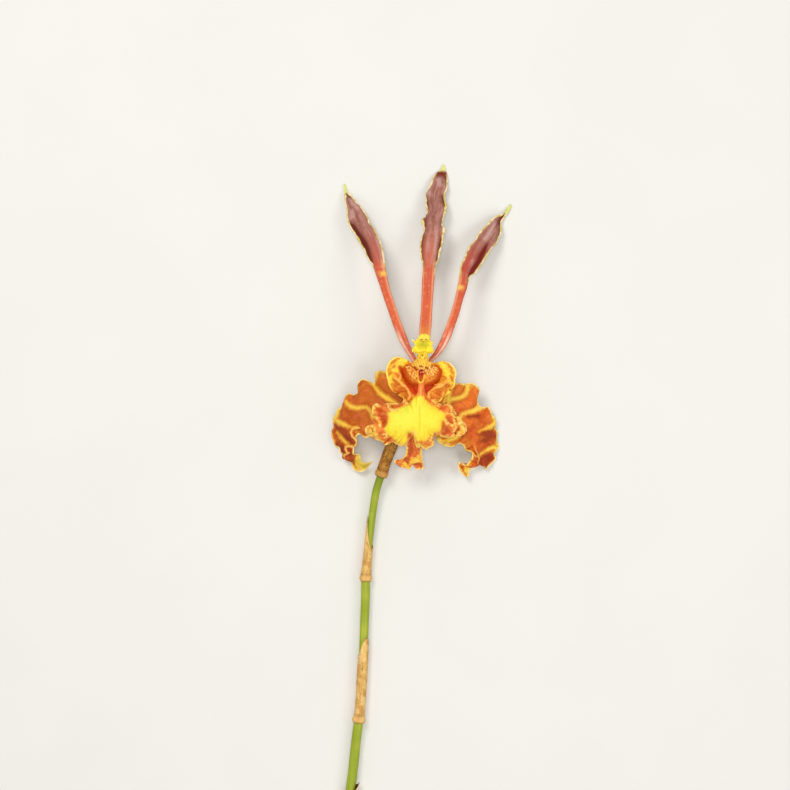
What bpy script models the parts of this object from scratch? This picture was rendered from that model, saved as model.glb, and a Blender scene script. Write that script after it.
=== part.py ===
"""Butterfly orchid flower on its cut stem, lying on its back with its face up.

Lengths are in millimetres until a mesh is made. +Z is up from the surface that the
flower lies on, +Y runs along the stem towards the flower's top, and the origin is
below the middle of the whole, on that surface.
"""

import math

import bmesh
import bpy
import numpy as np
from mathutils import Vector

MM = 0.001

# Driving dimensions.
GAP = 0.3  # clearance between neighbouring pieces
TEPAL_THICKNESS = 0.7
LIP_THICKNESS = 0.8
STEM_RADIUS = 1.95
SHEATH_WALL = 0.32
SHEATH_BORE = STEM_RADIUS + 1.15 * GAP
PEDICEL_RADIUS = 1.15
OVARY_RADIUS = 1.9
ANTHER_CAP = (2.9, 1.8, 1.7)  # half width, half depth and height of the cap
ANTHER_WALL = 0.5
POLLEN_RADIUS = 0.45

# The three whorls are stacked over the ovary's flat top, each clear of the last.
OVARY_TOP = (0.4, 62.3, 15.4)
SEPAL_BASE_Z = OVARY_TOP[2] + GAP + TEPAL_THICKNESS / 2
PETAL_BASE_Z = SEPAL_BASE_Z + TEPAL_THICKNESS + 1.5 * GAP
COLUMN_BASE_Z = PETAL_BASE_Z + TEPAL_THICKNESS / 2 + GAP

# Centre line of the stem, from the cut end to the tip inside the flower's bract.
STEM_LINE = [
    (-35.5, -152.6, 3.4),
    (-33.2, -138.0, 3.4),
    (-31.0, -124.0, 3.3),
    (-29.4, -109.0, 3.2),
    (-27.7, -95.5, 3.3),
    (-26.6, -78.0, 3.1),
    (-25.8, -60.0, 3.0),
    (-25.2, -45.0, 3.0),
    (-24.9, -33.8, 3.1),
    (-23.6, -20.0, 3.3),
    (-21.8, -5.0, 3.8),
    (-20.2, 4.5, 4.6),
    (-17.7, 12.6, 5.9),
    (-15.9, 18.0, 7.0),
    (-14.8, 21.0, 7.7),
]
STEM_TAPER = 0.45  # radius at the hidden tip, as a share of the stem's

# Each sheath: where its foot sits along the stem, its length, how far its bore opens
# at the mouth, the collar's height and extra radius, and how far and towards which
# side (in radians from +X) the mouth is cut down.
SHEATHS = {
    "base_sheath": {"foot": -148.6, "length": 23.0, "flare": 0.8, "collar": (2.8, 0.7), "mouth": (9.0, 2.8)},
    "lower_sheath": {"foot": -100.0, "length": 37.6, "flare": 0.0, "collar": (3.2, 0.65), "mouth": (8.0, 3.7)},
    "upper_sheath": {"foot": -35.8, "length": 29.0, "flare": 0.1, "collar": (2.6, 0.5), "mouth": (16.0, 0.7)},
    "flower_bract": {"foot": 12.0, "length": 19.0, "flare": 0.0, "collar": (1.8, 0.3), "mouth": (3.5, 4.3)},
}
# The bract runs on beyond the stem's tip, around the pedicel.
BRACT_LINE = STEM_LINE[10:] + [(-13.3, 24.6, 8.6), (-11.6, 29.0, 9.5), (-9.8, 33.4, 10.1)]

# (centre, radius) along the pedicel, from inside the bract to the ovary's flat top.
PEDICEL = [
    ((-14.6, 21.6, 8.0), PEDICEL_RADIUS),
    ((-12.8, 26.0, 9.0), PEDICEL_RADIUS),
    ((-9.9, 33.5, 10.2), PEDICEL_RADIUS),
    ((-6.8, 41.5, 10.9), PEDICEL_RADIUS * 1.1),
    ((-3.9, 49.0, 11.1), OVARY_RADIUS * 0.8),
    ((-1.6, 55.5, 11.2), OVARY_RADIUS),
    ((-0.1, 60.0, 11.9), OVARY_RADIUS),
    ((0.4, 62.0, 13.4), OVARY_RADIUS * 0.95),
    (OVARY_TOP, OVARY_RADIUS * 1.2),
]

# Tepal stations run from base to tip: (left edge), (right edge), crown of the middle.
DORSAL_SEPAL = [
    ((-0.3, 63.6, SEPAL_BASE_Z), (2.2, 63.6, SEPAL_BASE_Z), 0.0),
    ((-0.8, 68.0, 16.3), (3.5, 68.0, 16.3), 0.3),
    ((-1.0, 73.0, 17.0), (4.2, 73.0, 17.0), 0.6),
    ((-0.5, 82.0, 18.1), (4.7, 82.0, 18.1), 0.7),
    ((0.1, 91.0, 18.3), (5.5, 91.0, 18.3), 0.8),
    ((0.6, 101.0, 17.2), (5.9, 101.0, 17.2), 0.9),
    ((0.4, 107.5, 15.4), (7.0, 107.5, 15.4), 1.4),
    ((-0.7, 113.5, 13.2), (8.8, 113.5, 13.2), 1.9),
    ((0.4, 118.5, 11.4), (9.8, 118.5, 11.4), 2.0),
    ((1.4, 123.0, 9.6), (10.4, 123.0, 9.6), 2.0),
    ((0.2, 127.0, 8.0), (10.0, 127.0, 8.0), 2.0),
    ((2.5, 131.5, 6.3), (11.0, 131.5, 6.3), 1.9),
    ((1.5, 136.5, 4.5), (10.7, 136.5, 4.5), 1.8),
    ((2.6, 141.0, 2.9), (11.5, 141.0, 2.9), 1.7),
    ((5.0, 145.0, 1.7), (11.2, 145.0, 1.7), 1.2),
    ((7.8, 148.0, 0.9), (10.6, 148.0, 0.9), 0.6),
    ((10.1, 152.7, 0.4), (10.7, 152.8, 0.4), 0.1),
]
LEFT_PETAL = [
    ((-2.3, 60.9, PETAL_BASE_Z), (-0.5, 62.0, PETAL_BASE_Z), 0.0),
    ((-4.2, 63.3, 17.4), (-2.0, 64.1, 17.4), 0.2),
    ((-6.2, 66.3, 17.8), (-3.5, 67.2, 17.8), 0.5),
    ((-8.8, 70.7, 18.3), (-5.6, 71.5, 18.3), 0.7),
    ((-11.9, 77.2, 18.9), (-7.9, 77.8, 18.9), 0.9),
    ((-15.0, 86.2, 19.0), (-11.0, 86.8, 19.0), 0.9),
    ((-18.2, 95.2, 18.2), (-14.0, 95.8, 18.2), 0.9),
    ((-20.7, 103.0, 16.3), (-15.7, 103.4, 16.3), 0.9),
    ((-23.6, 109.0, 13.9), (-16.9, 109.2, 14.9), 1.1),
    ((-27.2, 115.2, 11.2), (-18.3, 115.6, 12.4), 1.3),
    ((-30.5, 120.4, 8.9), (-20.3, 121.2, 9.9), 1.4),
    ((-33.0, 125.6, 6.6), (-23.1, 126.2, 7.4), 1.3),
    ((-33.7, 130.4, 4.6), (-26.2, 131.2, 5.2), 1.1),
    ((-34.1, 134.8, 2.9), (-29.7, 135.2, 3.3), 0.8),
    ((-34.5, 138.4, 1.5), (-32.9, 138.6, 1.7), 0.4),
    ((-35.1, 143.8, 0.4), (-34.5, 143.9, 0.4), 0.1),
]
RIGHT_PETAL = [
    ((1.3, 62.0, PETAL_BASE_Z), (3.1, 60.8, PETAL_BASE_Z), 0.0),
    ((2.9, 63.8, 17.4), (5.0, 62.9, 17.4), 0.2),
    ((5.4, 66.5, 17.8), (8.0, 65.7, 17.8), 0.5),
    ((8.3, 71.6, 18.3), (11.6, 70.7, 18.3), 0.7),
    ((10.7, 77.9, 18.9), (14.5, 77.0, 18.9), 0.9),
    ((13.8, 86.8, 18.9), (17.5, 85.9, 18.9), 0.9),
    ((15.7, 95.1, 17.9), (20.2, 94.5, 17.9), 0.9),
    ((17.0, 102.4, 15.8), (23.0, 101.8, 15.0), 1.0),
    ((19.2, 109.3, 13.0), (27.6, 107.3, 11.6), 1.2),
    ((22.0, 114.9, 10.3), (31.0, 112.3, 8.8), 1.4),
    ((25.7, 119.9, 7.8), (34.2, 116.4, 6.4), 1.4),
    ((29.7, 124.6, 5.5), (35.9, 121.0, 4.4), 1.2),
    ((33.5, 127.7, 3.7), (35.9, 125.1, 2.8), 0.8),
    ((36.4, 130.0, 2.0), (37.5, 128.6, 1.6), 0.3),
    ((40.6, 134.6, 0.4), (41.1, 134.2, 0.4), 0.1),
]
LEFT_LATERAL_SEPAL = [
    ((-0.2, 62.5, SEPAL_BASE_Z), (-0.2, 59.6, SEPAL_BASE_Z), 0.0),
    ((-8.0, 62.0, 15.6), (-3.0, 54.0, 15.8), 0.3),
    ((-13.8, 60.7, 14.0), (-5.6, 46.0, 15.0), 0.6),
    ((-17.6, 58.4, 12.2), (-8.8, 38.8, 14.4), 1.0),
    ((-21.0, 53.8, 10.4), (-13.8, 33.4, 14.0), 1.3),
    ((-26.6, 55.6, 8.2), (-20.6, 30.0, 13.4), 1.5),
    ((-29.8, 50.4, 6.6), (-25.4, 29.8, 12.6), 1.5),
    ((-34.6, 47.8, 5.0), (-28.6, 32.2, 12.0), 1.5),
    ((-37.8, 41.8, 3.4), (-30.8, 32.4, 11.2), 1.5),
    ((-39.9, 36.0, 1.9), (-31.2, 29.8, 10.2), 1.5),
    ((-40.4, 30.6, 1.1), (-29.2, 27.0, 9.2), 1.3),
    ((-38.6, 25.2, 1.1), (-29.6, 24.2, 8.2), 1.0),
    ((-36.0, 21.2, 1.6), (-30.0, 21.4, 7.4), 0.8),
    ((-33.3, 18.0, 2.2), (-29.2, 19.6, 6.8), 0.5),
    ((-30.6, 14.8, 2.8), (-27.4, 18.4, 6.2), 0.4),
    ((-27.4, 13.6, 3.4), (-25.2, 17.8, 5.8), 0.3),
    ((-24.0, 15.4, 4.2), (-23.4, 17.8, 5.6), 0.2),
    ((-21.9, 17.8, 5.0), (-21.9, 18.3, 5.2), 0.0),
]
RIGHT_LATERAL_SEPAL = [
    ((1.0, 62.5, SEPAL_BASE_Z), (1.0, 59.6, SEPAL_BASE_Z), 0.0),
    ((8.6, 62.0, 15.6), (3.6, 54.0, 15.8), 0.3),
    ((14.0, 58.2, 14.0), (4.4, 45.4, 15.0), 0.6),
    ((18.0, 53.2, 12.4), (4.8, 37.4, 14.6), 1.0),
    ((22.1, 53.2, 10.6), (6.4, 30.6, 14.0), 1.3),
    ((25.6, 50.0, 8.8), (9.9, 26.6, 13.2), 1.5),
    ((25.6, 45.2, 7.2), (13.1, 25.2, 12.6), 1.5),
    ((29.6, 42.8, 5.4), (16.2, 25.6, 12.0), 1.5),
    ((32.8, 38.6, 3.8), (18.2, 25.4, 11.2), 1.5),
    ((33.9, 33.8, 2.2), (20.2, 23.6, 10.2), 1.5),
    ((35.2, 29.4, 1.2), (22.4, 22.8, 9.2), 1.3),
    ((35.2, 25.0, 1.1), (22.8, 21.0, 8.2), 1.0),
    ((33.2, 19.8, 1.6), (22.0, 19.2, 7.4), 0.8),
    ((29.4, 15.6, 2.4), (20.9, 17.8, 6.8), 0.5),
    ((24.6, 14.6, 3.2), (19.4, 17.2, 6.2), 0.4),
    ((21.7, 11.4, 4.0), (17.4, 17.9, 5.8), 0.2),
]

# The lip's broad middle lobe: its margin, from the waist's left side round to its right.
LIP_CENTRE = (-2.9, 36.4, 26.2)
LIP_MARGIN = [
    (-1.6, 49.5, 24.4),
    (-3.4, 46.2, 23.0),
    (-6.4, 45.0, 21.4),
    (-10.0, 44.0, 20.2),
    (-15.1, 44.4, 20.2),
    (-20.0, 43.8, 19.4),
    (-22.3, 40.2, 19.2),
    (-20.8, 36.4, 19.6),
    (-23.9, 33.4, 18.8),
    (-23.6, 29.4, 18.6),
    (-18.2, 27.6, 19.2),
    (-13.8, 26.4, 19.8),
    (-9.4, 25.0, 20.4),
    (-7.0, 25.8, 21.2),
    (-5.0, 28.4, 22.8),
    (-2.9, 27.6, 22.4),
    (-0.9, 24.8, 21.0),
    (2.6, 23.8, 20.2),
    (5.2, 26.4, 20.4),
    (7.2, 28.8, 20.6),
    (12.4, 28.2, 19.4),
    (18.6, 29.4, 18.8),
    (20.4, 32.8, 18.8),
    (17.8, 37.2, 19.4),
    (14.4, 41.2, 19.8),
    (10.4, 43.2, 20.4),
    (6.8, 43.8, 21.4),
    (4.4, 46.0, 22.8),
    (2.6, 49.3, 24.4),
]
LIP_TONGUE = [
    ((-5.0, 34.6, 25.9), (-3.4, 34.6, 25.9), 0.0),
    ((-5.4, 31.6, 24.2), (-3.0, 31.6, 24.2), 0.0),
    ((-6.5, 27.6, 19.6), (-2.0, 27.6, 19.6), 0.3),
    ((-7.0, 24.2, 17.8), (-0.2, 24.2, 17.8), 0.6),
    ((-8.2, 21.0, 16.4), (0.2, 21.0, 16.4), 0.9),
    ((-10.8, 18.4, 15.0), (0.5, 18.4, 15.0), 1.0),
    ((-11.8, 16.6, 14.0), (1.0, 16.0, 14.0), 0.9),
    ((-9.2, 14.6, 13.4), (0.8, 14.2, 13.4), 0.7),
]
# Side lobes: the edge along the callus, then the free margin.
LEFT_SIDE_LOBE = [
    ((-1.6, 60.4, 23.0), (-6.4, 63.2, 24.6), 0.4),
    ((-2.4, 59.6, 23.2), (-9.6, 65.0, 25.0), 1.0),
    ((-2.9, 58.8, 23.4), (-12.8, 64.6, 24.8), 1.5),
    ((-3.0, 57.8, 23.6), (-15.4, 61.4, 24.2), 1.8),
    ((-2.9, 56.4, 23.8), (-15.9, 57.2, 23.6), 1.8),
    ((-2.4, 54.8, 23.9), (-14.6, 53.2, 23.0), 1.6),
    ((-1.8, 53.2, 23.9), (-12.2, 50.4, 22.6), 1.2),
    ((-1.2, 52.0, 24.1), (-8.8, 48.6, 22.4), 0.8),
    ((-0.8, 51.2, 24.2), (-5.4, 48.8, 22.8), 0.4),
]
RIGHT_SIDE_LOBE = [
    ((2.6, 60.4, 23.0), (7.0, 62.5, 24.6), 0.4),
    ((3.4, 59.6, 23.2), (9.8, 63.5, 25.0), 1.0),
    ((3.9, 58.8, 23.4), (13.0, 62.9, 24.8), 1.5),
    ((4.0, 57.8, 23.6), (15.4, 60.0, 24.2), 1.8),
    ((3.9, 56.4, 23.8), (16.2, 56.4, 23.6), 1.8),
    ((3.4, 54.8, 23.9), (15.4, 52.6, 23.0), 1.6),
    ((2.8, 53.2, 23.9), (13.4, 49.2, 22.6), 1.2),
    ((2.2, 52.0, 24.1), (10.2, 47.2, 22.4), 0.8),
    ((1.8, 51.2, 24.2), (6.4, 47.6, 22.8), 0.4),
]
# The fleshy callus and the waist below it: (y, half width, underside z, top z).
CALLUS = [
    (61.5, 5.6, 20.8, 23.4),
    (60.6, 7.0, 20.8, 25.0),
    (58.8, 7.2, 21.0, 26.2),
    (56.4, 6.4, 21.4, 26.6),
    (53.8, 4.6, 21.8, 26.2),
    (51.2, 2.4, 22.6, 25.6),
    (48.8, 1.5, 23.6, 25.6),
    (46.0, 1.7, 24.4, 26.2),
    (43.6, 1.2, 24.9, 26.0),
]
CALLUS_X = 0.2

# The column: (centre), half width, half depth, from its foot to the anther's bed.
COLUMN = [
    ((0.4, 63.8, COLUMN_BASE_Z), 2.2, 1.9),
    ((0.4, 63.9, 20.4), 2.4, 1.8),
    ((0.5, 65.0, 23.0), 2.8, 1.9),
    ((0.7, 67.0, 25.4), 3.2, 2.0),
    ((0.9, 69.6, 27.0), 3.7, 2.0),
    ((1.0, 71.8, 27.8), 3.0, 1.8),
    ((1.1, 73.4, 28.2), 2.2, 1.4),
]
# One wing beside the stigma: (inner edge), (outer edge), crown; the other mirrors it.
COLUMN_WING = [
    ((1.2, 64.4, 25.0), (2.6, 64.8, 26.0), 0.0),
    ((1.6, 65.6, 26.0), (5.0, 65.4, 27.2), 0.2),
    ((1.9, 67.2, 27.2), (5.4, 67.4, 28.2), 0.3),
    ((2.0, 69.4, 28.0), (4.4, 69.6, 28.8), 0.2),
    ((1.8, 71.2, 28.4), (3.4, 72.2, 29.2), 0.0),
]
COLUMN_X = 0.9
ANTHER_CENTRE = (1.1, 73.6, 29.9)
ANTHER_TILT = math.radians(-20)


def smooth(points, count):
    """Samples a Catmull-Rom curve through the points at evenly spaced steps."""
    points = np.array(points, float)
    padded = np.vstack([2 * points[0] - points[1], points, 2 * points[-1] - points[-2]])
    where = np.linspace(0, len(points) - 1, count)
    index = np.minimum(where.astype(int), len(points) - 2)
    t = (where - index)[:, None]
    a, b, c, d = (padded[index + k] for k in range(4))
    return 0.5 * (2 * b + (c - a) * t + (2 * a - 5 * b + 4 * c - d) * t**2 + (3 * b - a - 3 * c + d) * t**3)


def smooth_loop(points, count):
    """Samples a closed Catmull-Rom curve through the points, without repeating its start."""
    points = np.array(points, float)
    where = np.linspace(0, len(points), count, endpoint=False)
    index = where.astype(int)
    t = (where - index)[:, None]
    a, b, c, d = (points[(index + k - 1) % len(points)] for k in range(4))
    return 0.5 * (2 * b + (c - a) * t + (2 * a - 5 * b + 4 * c - d) * t**2 + (3 * b - a - 3 * c + d) * t**3)


def unit(vectors):
    return vectors / np.linalg.norm(vectors, axis=-1, keepdims=True)


def finish(name, colour, roughness):
    """A Principled material with one colour for a whole piece."""
    material = bpy.data.materials.new(name)
    material.use_nodes = True
    shader = material.node_tree.nodes["Principled BSDF"]
    shader.inputs["Base Color"].default_value = (*colour, 1.0)
    shader.inputs["Roughness"].default_value = roughness
    shader.inputs["Metallic"].default_value = 0.0
    return material


def add_mesh(name, points, faces, material):
    """Makes an object from points in millimetres, with its faces turned consistently."""
    mesh = bpy.data.meshes.new(name)
    mesh.from_pydata([Vector(p) * MM for p in points], [], faces)
    build = bmesh.new()
    build.from_mesh(mesh)
    bmesh.ops.recalc_face_normals(build, faces=build.faces)
    build.to_mesh(mesh)
    build.free()
    mesh.materials.append(material)
    mesh.shade_smooth()
    obj = bpy.data.objects.new(name, mesh)
    bpy.context.scene.collection.objects.link(obj)
    return obj


def grid_faces(rows, columns, wrap=False):
    """Quads over a grid of points, row by row; wrap joins the last column to the first."""
    across = columns if wrap else columns - 1
    return [
        (i * columns + j, i * columns + (j + 1) % columns, (i + 1) * columns + (j + 1) % columns, (i + 1) * columns + j)
        for i in range(rows - 1)
        for j in range(across)
    ]


def thicken(obj, thickness, offset=0.0):
    """Gives an open sheet its thickness, half on each side unless offset says otherwise."""
    solidify = obj.modifiers.new("thickness", "SOLIDIFY")
    solidify.thickness = thickness * MM
    solidify.offset = offset
    return obj


def blade_points(stations, rows, columns, ruffle, waves):
    """A petal-like sheet between two edges, crowned along the middle and ruffled at its edges."""
    rails = smooth([(*left, *right, crown) for left, right, crown in stations], rows)
    left, right, crown = rails[:, 0:3], rails[:, 3:6], rails[:, 6]
    along = np.gradient((left + right) / 2, axis=0)
    normal = unit(np.cross(right - left, along))
    normal *= np.sign(normal[:, 2].mean())
    width = np.linalg.norm(right - left, axis=1)
    room = np.minimum(1.0, width / 8.0)
    points = []
    for i in range(rows):
        u = i / (rows - 1)
        for j in range(columns):
            v = j / (columns - 1)
            side = 2 * v - 1
            wave = math.sin(2 * math.pi * waves * u + (0.0 if side < 0 else 1.9))
            lift = crown[i] * (1 - side**2) + ruffle * room[i] * abs(side) ** 3 * wave * math.sin(math.pi * u)
            points.append(left[i] + (right[i] - left[i]) * v + normal[i] * lift)
    return points


def blade(name, stations, rows, columns, thickness, material, ruffle=0.0, waves=6):
    points = blade_points(stations, rows, columns, ruffle, waves)
    return thicken(add_mesh(name, points, grid_faces(rows, columns), material), thickness)


def loft(name, rings, material):
    """A closed body through rings of points that all have the same number."""
    sides = len(rings[0])
    points = [p for ring in rings for p in ring]
    faces = grid_faces(len(rings), sides, wrap=True)
    faces.append(tuple(range(sides)))
    faces.append(tuple(range(len(points) - sides, len(points))))
    return add_mesh(name, points, faces, material)


def swept_curve(name, line, radii, base_radius, material, samples):
    """A round stalk: a curve object with a bevel, a radius at each point and filled ends."""
    data = bpy.data.curves.new(name, "CURVE")
    data.dimensions = "3D"
    data.bevel_depth = base_radius * MM
    data.bevel_resolution = 2
    data.use_fill_caps = True
    along = smooth([(*p, r) for p, r in zip(line, radii)], samples)
    spline = data.splines.new("POLY")
    spline.points.add(samples - 1)
    for point, (x, y, z, radius) in zip(spline.points, along):
        point.co = (x * MM, y * MM, z * MM, 1.0)
        point.radius = radius / base_radius
    data.materials.append(material)
    obj = bpy.data.objects.new(name, data)
    bpy.context.scene.collection.objects.link(obj)
    return obj


def join(body, *others):
    """Unites closed bodies into one; the others stay in the file as hidden helpers."""
    for other in others:
        union = body.modifiers.new("join " + other.name, "BOOLEAN")
        union.operation = "UNION"
        union.solver = "EXACT"
        union.object = other
        other.hide_render = True
        other.display_type = "WIRE"
    return body


def make_stem(material):
    radii = [STEM_RADIUS] * (len(STEM_LINE) - 2) + [STEM_RADIUS * 0.85, STEM_RADIUS * STEM_TAPER]
    return swept_curve("flower_stem", STEM_LINE, radii, STEM_RADIUS, material, 36)


def walk(line, foot_y):
    """A function from a distance past foot_y along the line to a centre and two cross directions."""
    fine = smooth(line, 300)
    steps = np.linalg.norm(np.diff(fine, axis=0), axis=1)
    arc = np.concatenate([[0], np.cumsum(steps)])
    start = np.interp(foot_y, fine[:, 1], arc)

    def at(distance):
        centre, ahead = (
            np.array([np.interp(start + distance + step, arc, fine[:, k]) for k in range(3)])
            for step in (0.0, 0.5)
        )
        along = unit(ahead - centre)
        sideways = unit(np.cross(along, [0.0, 0.0, 1.0]))
        return centre, sideways, np.cross(sideways, along)

    return at


def make_sheath(name, shape, material):
    """A dry tubular sheath on a swollen collar, with its mouth cut at a slant."""
    at = walk(BRACT_LINE if name == "flower_bract" else STEM_LINE, shape["foot"])
    sides, rows = 12, 9
    depth, turn = shape["mouth"]
    tall, swell = shape["collar"]
    outer, inner = [], []
    for i in range(rows):
        u = (i / (rows - 1)) ** 1.3
        for j in range(sides):
            angle = 2 * math.pi * j / sides
            distance = shape["length"] * u - depth * u**3 * (1 + math.cos(angle - turn)) / 2
            bore = SHEATH_BORE + shape["flare"] * u**3
            collar = swell * math.exp(-((distance - tall * 0.3) ** 2) / tall**2)
            centre, sideways, upward = at(distance)
            out = sideways * math.cos(angle) + upward * math.sin(angle)
            inner.append(centre + out * bore)
            outer.append(centre + out * (bore + SHEATH_WALL + collar))
    walls = grid_faces(rows, sides, wrap=True)
    count = rows * sides
    faces = walls + [tuple(k + count for k in face) for face in walls]
    for row in (0, rows - 1):
        for j in range(sides):
            a, b = row * sides + j, row * sides + (j + 1) % sides
            faces.append((a, b, b + count, a + count))
    return add_mesh(name, outer + inner, faces, material)


def make_pedicel(material):
    line = [p for p, _ in PEDICEL]
    radii = [r for _, r in PEDICEL]
    return swept_curve("pedicel_and_ovary", line, radii, PEDICEL_RADIUS, material, 22)


def make_lip(material):
    """The lip in one piece: middle lobe, tongue, side lobes, callus and waist."""
    segments, rings = 64, 5
    margin = smooth_loop(LIP_MARGIN, segments)
    centre = np.array(LIP_CENTRE)
    reach = margin - centre
    even = sum(np.roll(reach, k, axis=0) for k in range(-5, 6)) / 11  # the margin without its waves
    points = [centre]
    for ring in range(1, rings + 1):
        s = ring / rings
        for k in range(segments):
            point = centre + (even[k] + (reach[k] - even[k]) * s**2) * s
            point[2] = centre[2] + (even[k, 2] + (reach[k, 2] - even[k, 2]) * s**2) * s**1.8
            points.append(point)
    faces = [(0, 1 + k, 1 + (k + 1) % segments) for k in range(segments)]
    faces += [tuple(v + 1 for v in face) for face in grid_faces(rings, segments, wrap=True)]
    lobe = thicken(add_mesh("lip", points, faces, material), LIP_THICKNESS)

    tongue = blade("lip tongue", LIP_TONGUE, 9, 5, LIP_THICKNESS, material)
    left = blade("lip left lobe", LEFT_SIDE_LOBE, 12, 6, LIP_THICKNESS, material)
    right = blade("lip right lobe", RIGHT_SIDE_LOBE, 12, 6, LIP_THICKNESS, material)
    sides = 12
    rings = []
    for y, half, under, top in smooth(CALLUS, 12):
        turns = [2 * math.pi * k / sides for k in range(sides)]
        middle, tall = (under + top) / 2, (top - under) / 2
        rings.append([(CALLUS_X + half * math.cos(t), y, middle + tall * math.sin(t)) for t in turns])
    return join(lobe, loft("lip callus", rings, material), tongue, left, right)


def make_column(material):
    """The column with its two wings beside the stigma."""
    sides = 12
    rows = smooth([(*centre, wide, deep) for centre, wide, deep in COLUMN], 11)
    along = unit(np.gradient(rows[:, :3], axis=0))
    along[0] = (0.0, 0.0, 1.0)
    rings = []
    for (x, y, z, wide, deep), way in zip(rows, along):
        front = unit(np.cross([1.0, 0.0, 0.0], way))
        turns = [2 * math.pi * k / sides for k in range(sides)]
        rings.append([np.array([x + wide * math.cos(t), y, z]) + front * deep * math.sin(t) for t in turns])
    body = loft("column", rings, material)
    wings = []
    for side in (-1, 1):
        stations = [
            tuple((COLUMN_X + side * x, y, z) for x, y, z in (inner, outer)) + (crown,)
            for inner, outer, crown in COLUMN_WING
        ]
        wings.append(blade(f"column wing {side}", stations, 9, 5, LIP_THICKNESS, material))
    return join(body, *wings)


def dome(name, half_width, half_depth, height, floor, material):
    """A closed half round, cut flat at (floor) of its height."""
    build = bmesh.new()
    bmesh.ops.create_uvsphere(build, u_segments=12, v_segments=8, radius=1.0)
    for vertex in build.verts:
        x, y, z = vertex.co
        vertex.co = Vector((x * half_width, y * half_depth, max(z, floor) * height)) * MM
    bmesh.ops.remove_doubles(build, verts=build.verts, dist=1e-6)
    bmesh.ops.recalc_face_normals(build, faces=build.faces)
    mesh = bpy.data.meshes.new(name)
    build.to_mesh(mesh)
    build.free()
    mesh.materials.append(material)
    mesh.shade_smooth()
    obj = bpy.data.objects.new(name, mesh)
    bpy.context.scene.collection.objects.link(obj)
    return obj


def place(obj, centre, tilt=0.0):
    obj.location = Vector(centre) * MM
    obj.rotation_euler = (tilt, 0.0, 0.0)
    return obj


def make_anther(cap_material, pollen_material):
    """The loose cap over the pollen, hollow below, and the two pollen masses on their stalk."""
    wide, deep, tall = ANTHER_CAP
    cap = place(dome("anther_cap", wide, deep, tall, 0.0, cap_material), ANTHER_CENTRE, ANTHER_TILT)
    room = [side - ANTHER_WALL for side in ANTHER_CAP]
    hollow = place(dome("anther hollow", *room, -0.4, cap_material), ANTHER_CENTRE, ANTHER_TILT)
    cut = cap.modifiers.new("hollow", "BOOLEAN")
    cut.operation = "DIFFERENCE"
    cut.solver = "EXACT"
    cut.object = hollow
    hollow.hide_render = True
    hollow.display_type = "WIRE"

    seat = Vector(ANTHER_CENTRE) + Vector((0.0, 0.1, 0.35))
    round_size = (POLLEN_RADIUS,) * 3
    left = place(dome("pollinarium", *round_size, -1.0, pollen_material), seat - Vector((0.4, 0, 0)))
    right = place(dome("pollen mass", *round_size, -1.0, pollen_material), seat + Vector((0.4, 0, 0)))
    stalk = place(dome("pollen stalk", *round_size, -1.0, pollen_material), seat - Vector((0, 0.5, 0)))
    join(left, right, stalk)


def main():
    for obj in list(bpy.data.objects):
        bpy.data.objects.remove(obj)

    stem_green = finish("stem green", (0.36, 0.42, 0.06), 0.45)
    dry_tan = finish("dry tan", (0.66, 0.45, 0.20), 0.75)
    dry_brown = finish("dry brown", (0.38, 0.17, 0.04), 0.75)
    maroon = finish("maroon", (0.42, 0.16, 0.10), 0.45)
    orange = finish("orange", (0.60, 0.16, 0.02), 0.5)
    yellow = finish("yellow", (0.90, 0.72, 0.06), 0.5)
    column_yellow = finish("column yellow", (0.80, 0.58, 0.06), 0.45)
    cap_yellow = finish("cap yellow", (0.88, 0.74, 0.14), 0.4)
    pollen = finish("pollen", (0.85, 0.50, 0.08), 0.4)

    make_stem(stem_green)
    for name, shape in SHEATHS.items():
        make_sheath(name, shape, dry_brown if name == "flower_bract" else dry_tan)
    make_pedicel(stem_green)
    blade("dorsal_sepal", DORSAL_SEPAL, 34, 6, TEPAL_THICKNESS, maroon)
    blade("left_petal", LEFT_PETAL, 30, 6, TEPAL_THICKNESS, maroon)
    blade("right_petal", RIGHT_PETAL, 28, 6, TEPAL_THICKNESS, maroon)
    blade("left_lateral_sepal", LEFT_LATERAL_SEPAL, 36, 7, TEPAL_THICKNESS, orange, 0.9, 6)
    blade("right_lateral_sepal", RIGHT_LATERAL_SEPAL, 34, 7, TEPAL_THICKNESS, orange, 0.9, 6)
    make_lip(yellow)
    make_column(column_yellow)
    make_anther(cap_yellow, pollen)


main()
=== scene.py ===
import math

import bmesh
import bpy
import numpy as np
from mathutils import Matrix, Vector


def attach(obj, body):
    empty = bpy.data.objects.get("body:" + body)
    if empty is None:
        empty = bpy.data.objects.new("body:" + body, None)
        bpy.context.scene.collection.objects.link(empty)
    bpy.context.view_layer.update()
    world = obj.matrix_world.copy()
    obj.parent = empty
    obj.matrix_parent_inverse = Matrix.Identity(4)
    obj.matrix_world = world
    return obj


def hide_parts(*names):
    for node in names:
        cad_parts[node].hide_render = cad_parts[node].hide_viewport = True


# Butterfly orchid flower on its cut stem, lying face up. Lengths are in mm until a mesh is made.
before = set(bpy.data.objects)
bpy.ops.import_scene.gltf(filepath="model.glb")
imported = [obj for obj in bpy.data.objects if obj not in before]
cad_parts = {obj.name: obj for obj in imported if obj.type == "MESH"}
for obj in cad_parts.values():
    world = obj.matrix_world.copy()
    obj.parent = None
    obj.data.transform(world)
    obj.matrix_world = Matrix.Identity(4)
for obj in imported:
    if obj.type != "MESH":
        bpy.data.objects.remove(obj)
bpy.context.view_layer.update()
mm = 0.001
fineSteps = 2400  # places read along a curve before its points are spaced
farApart = 9.0  # mm; no drawn stroke reaches further
print("frame loaded,", len(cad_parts), "nodes")


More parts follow.
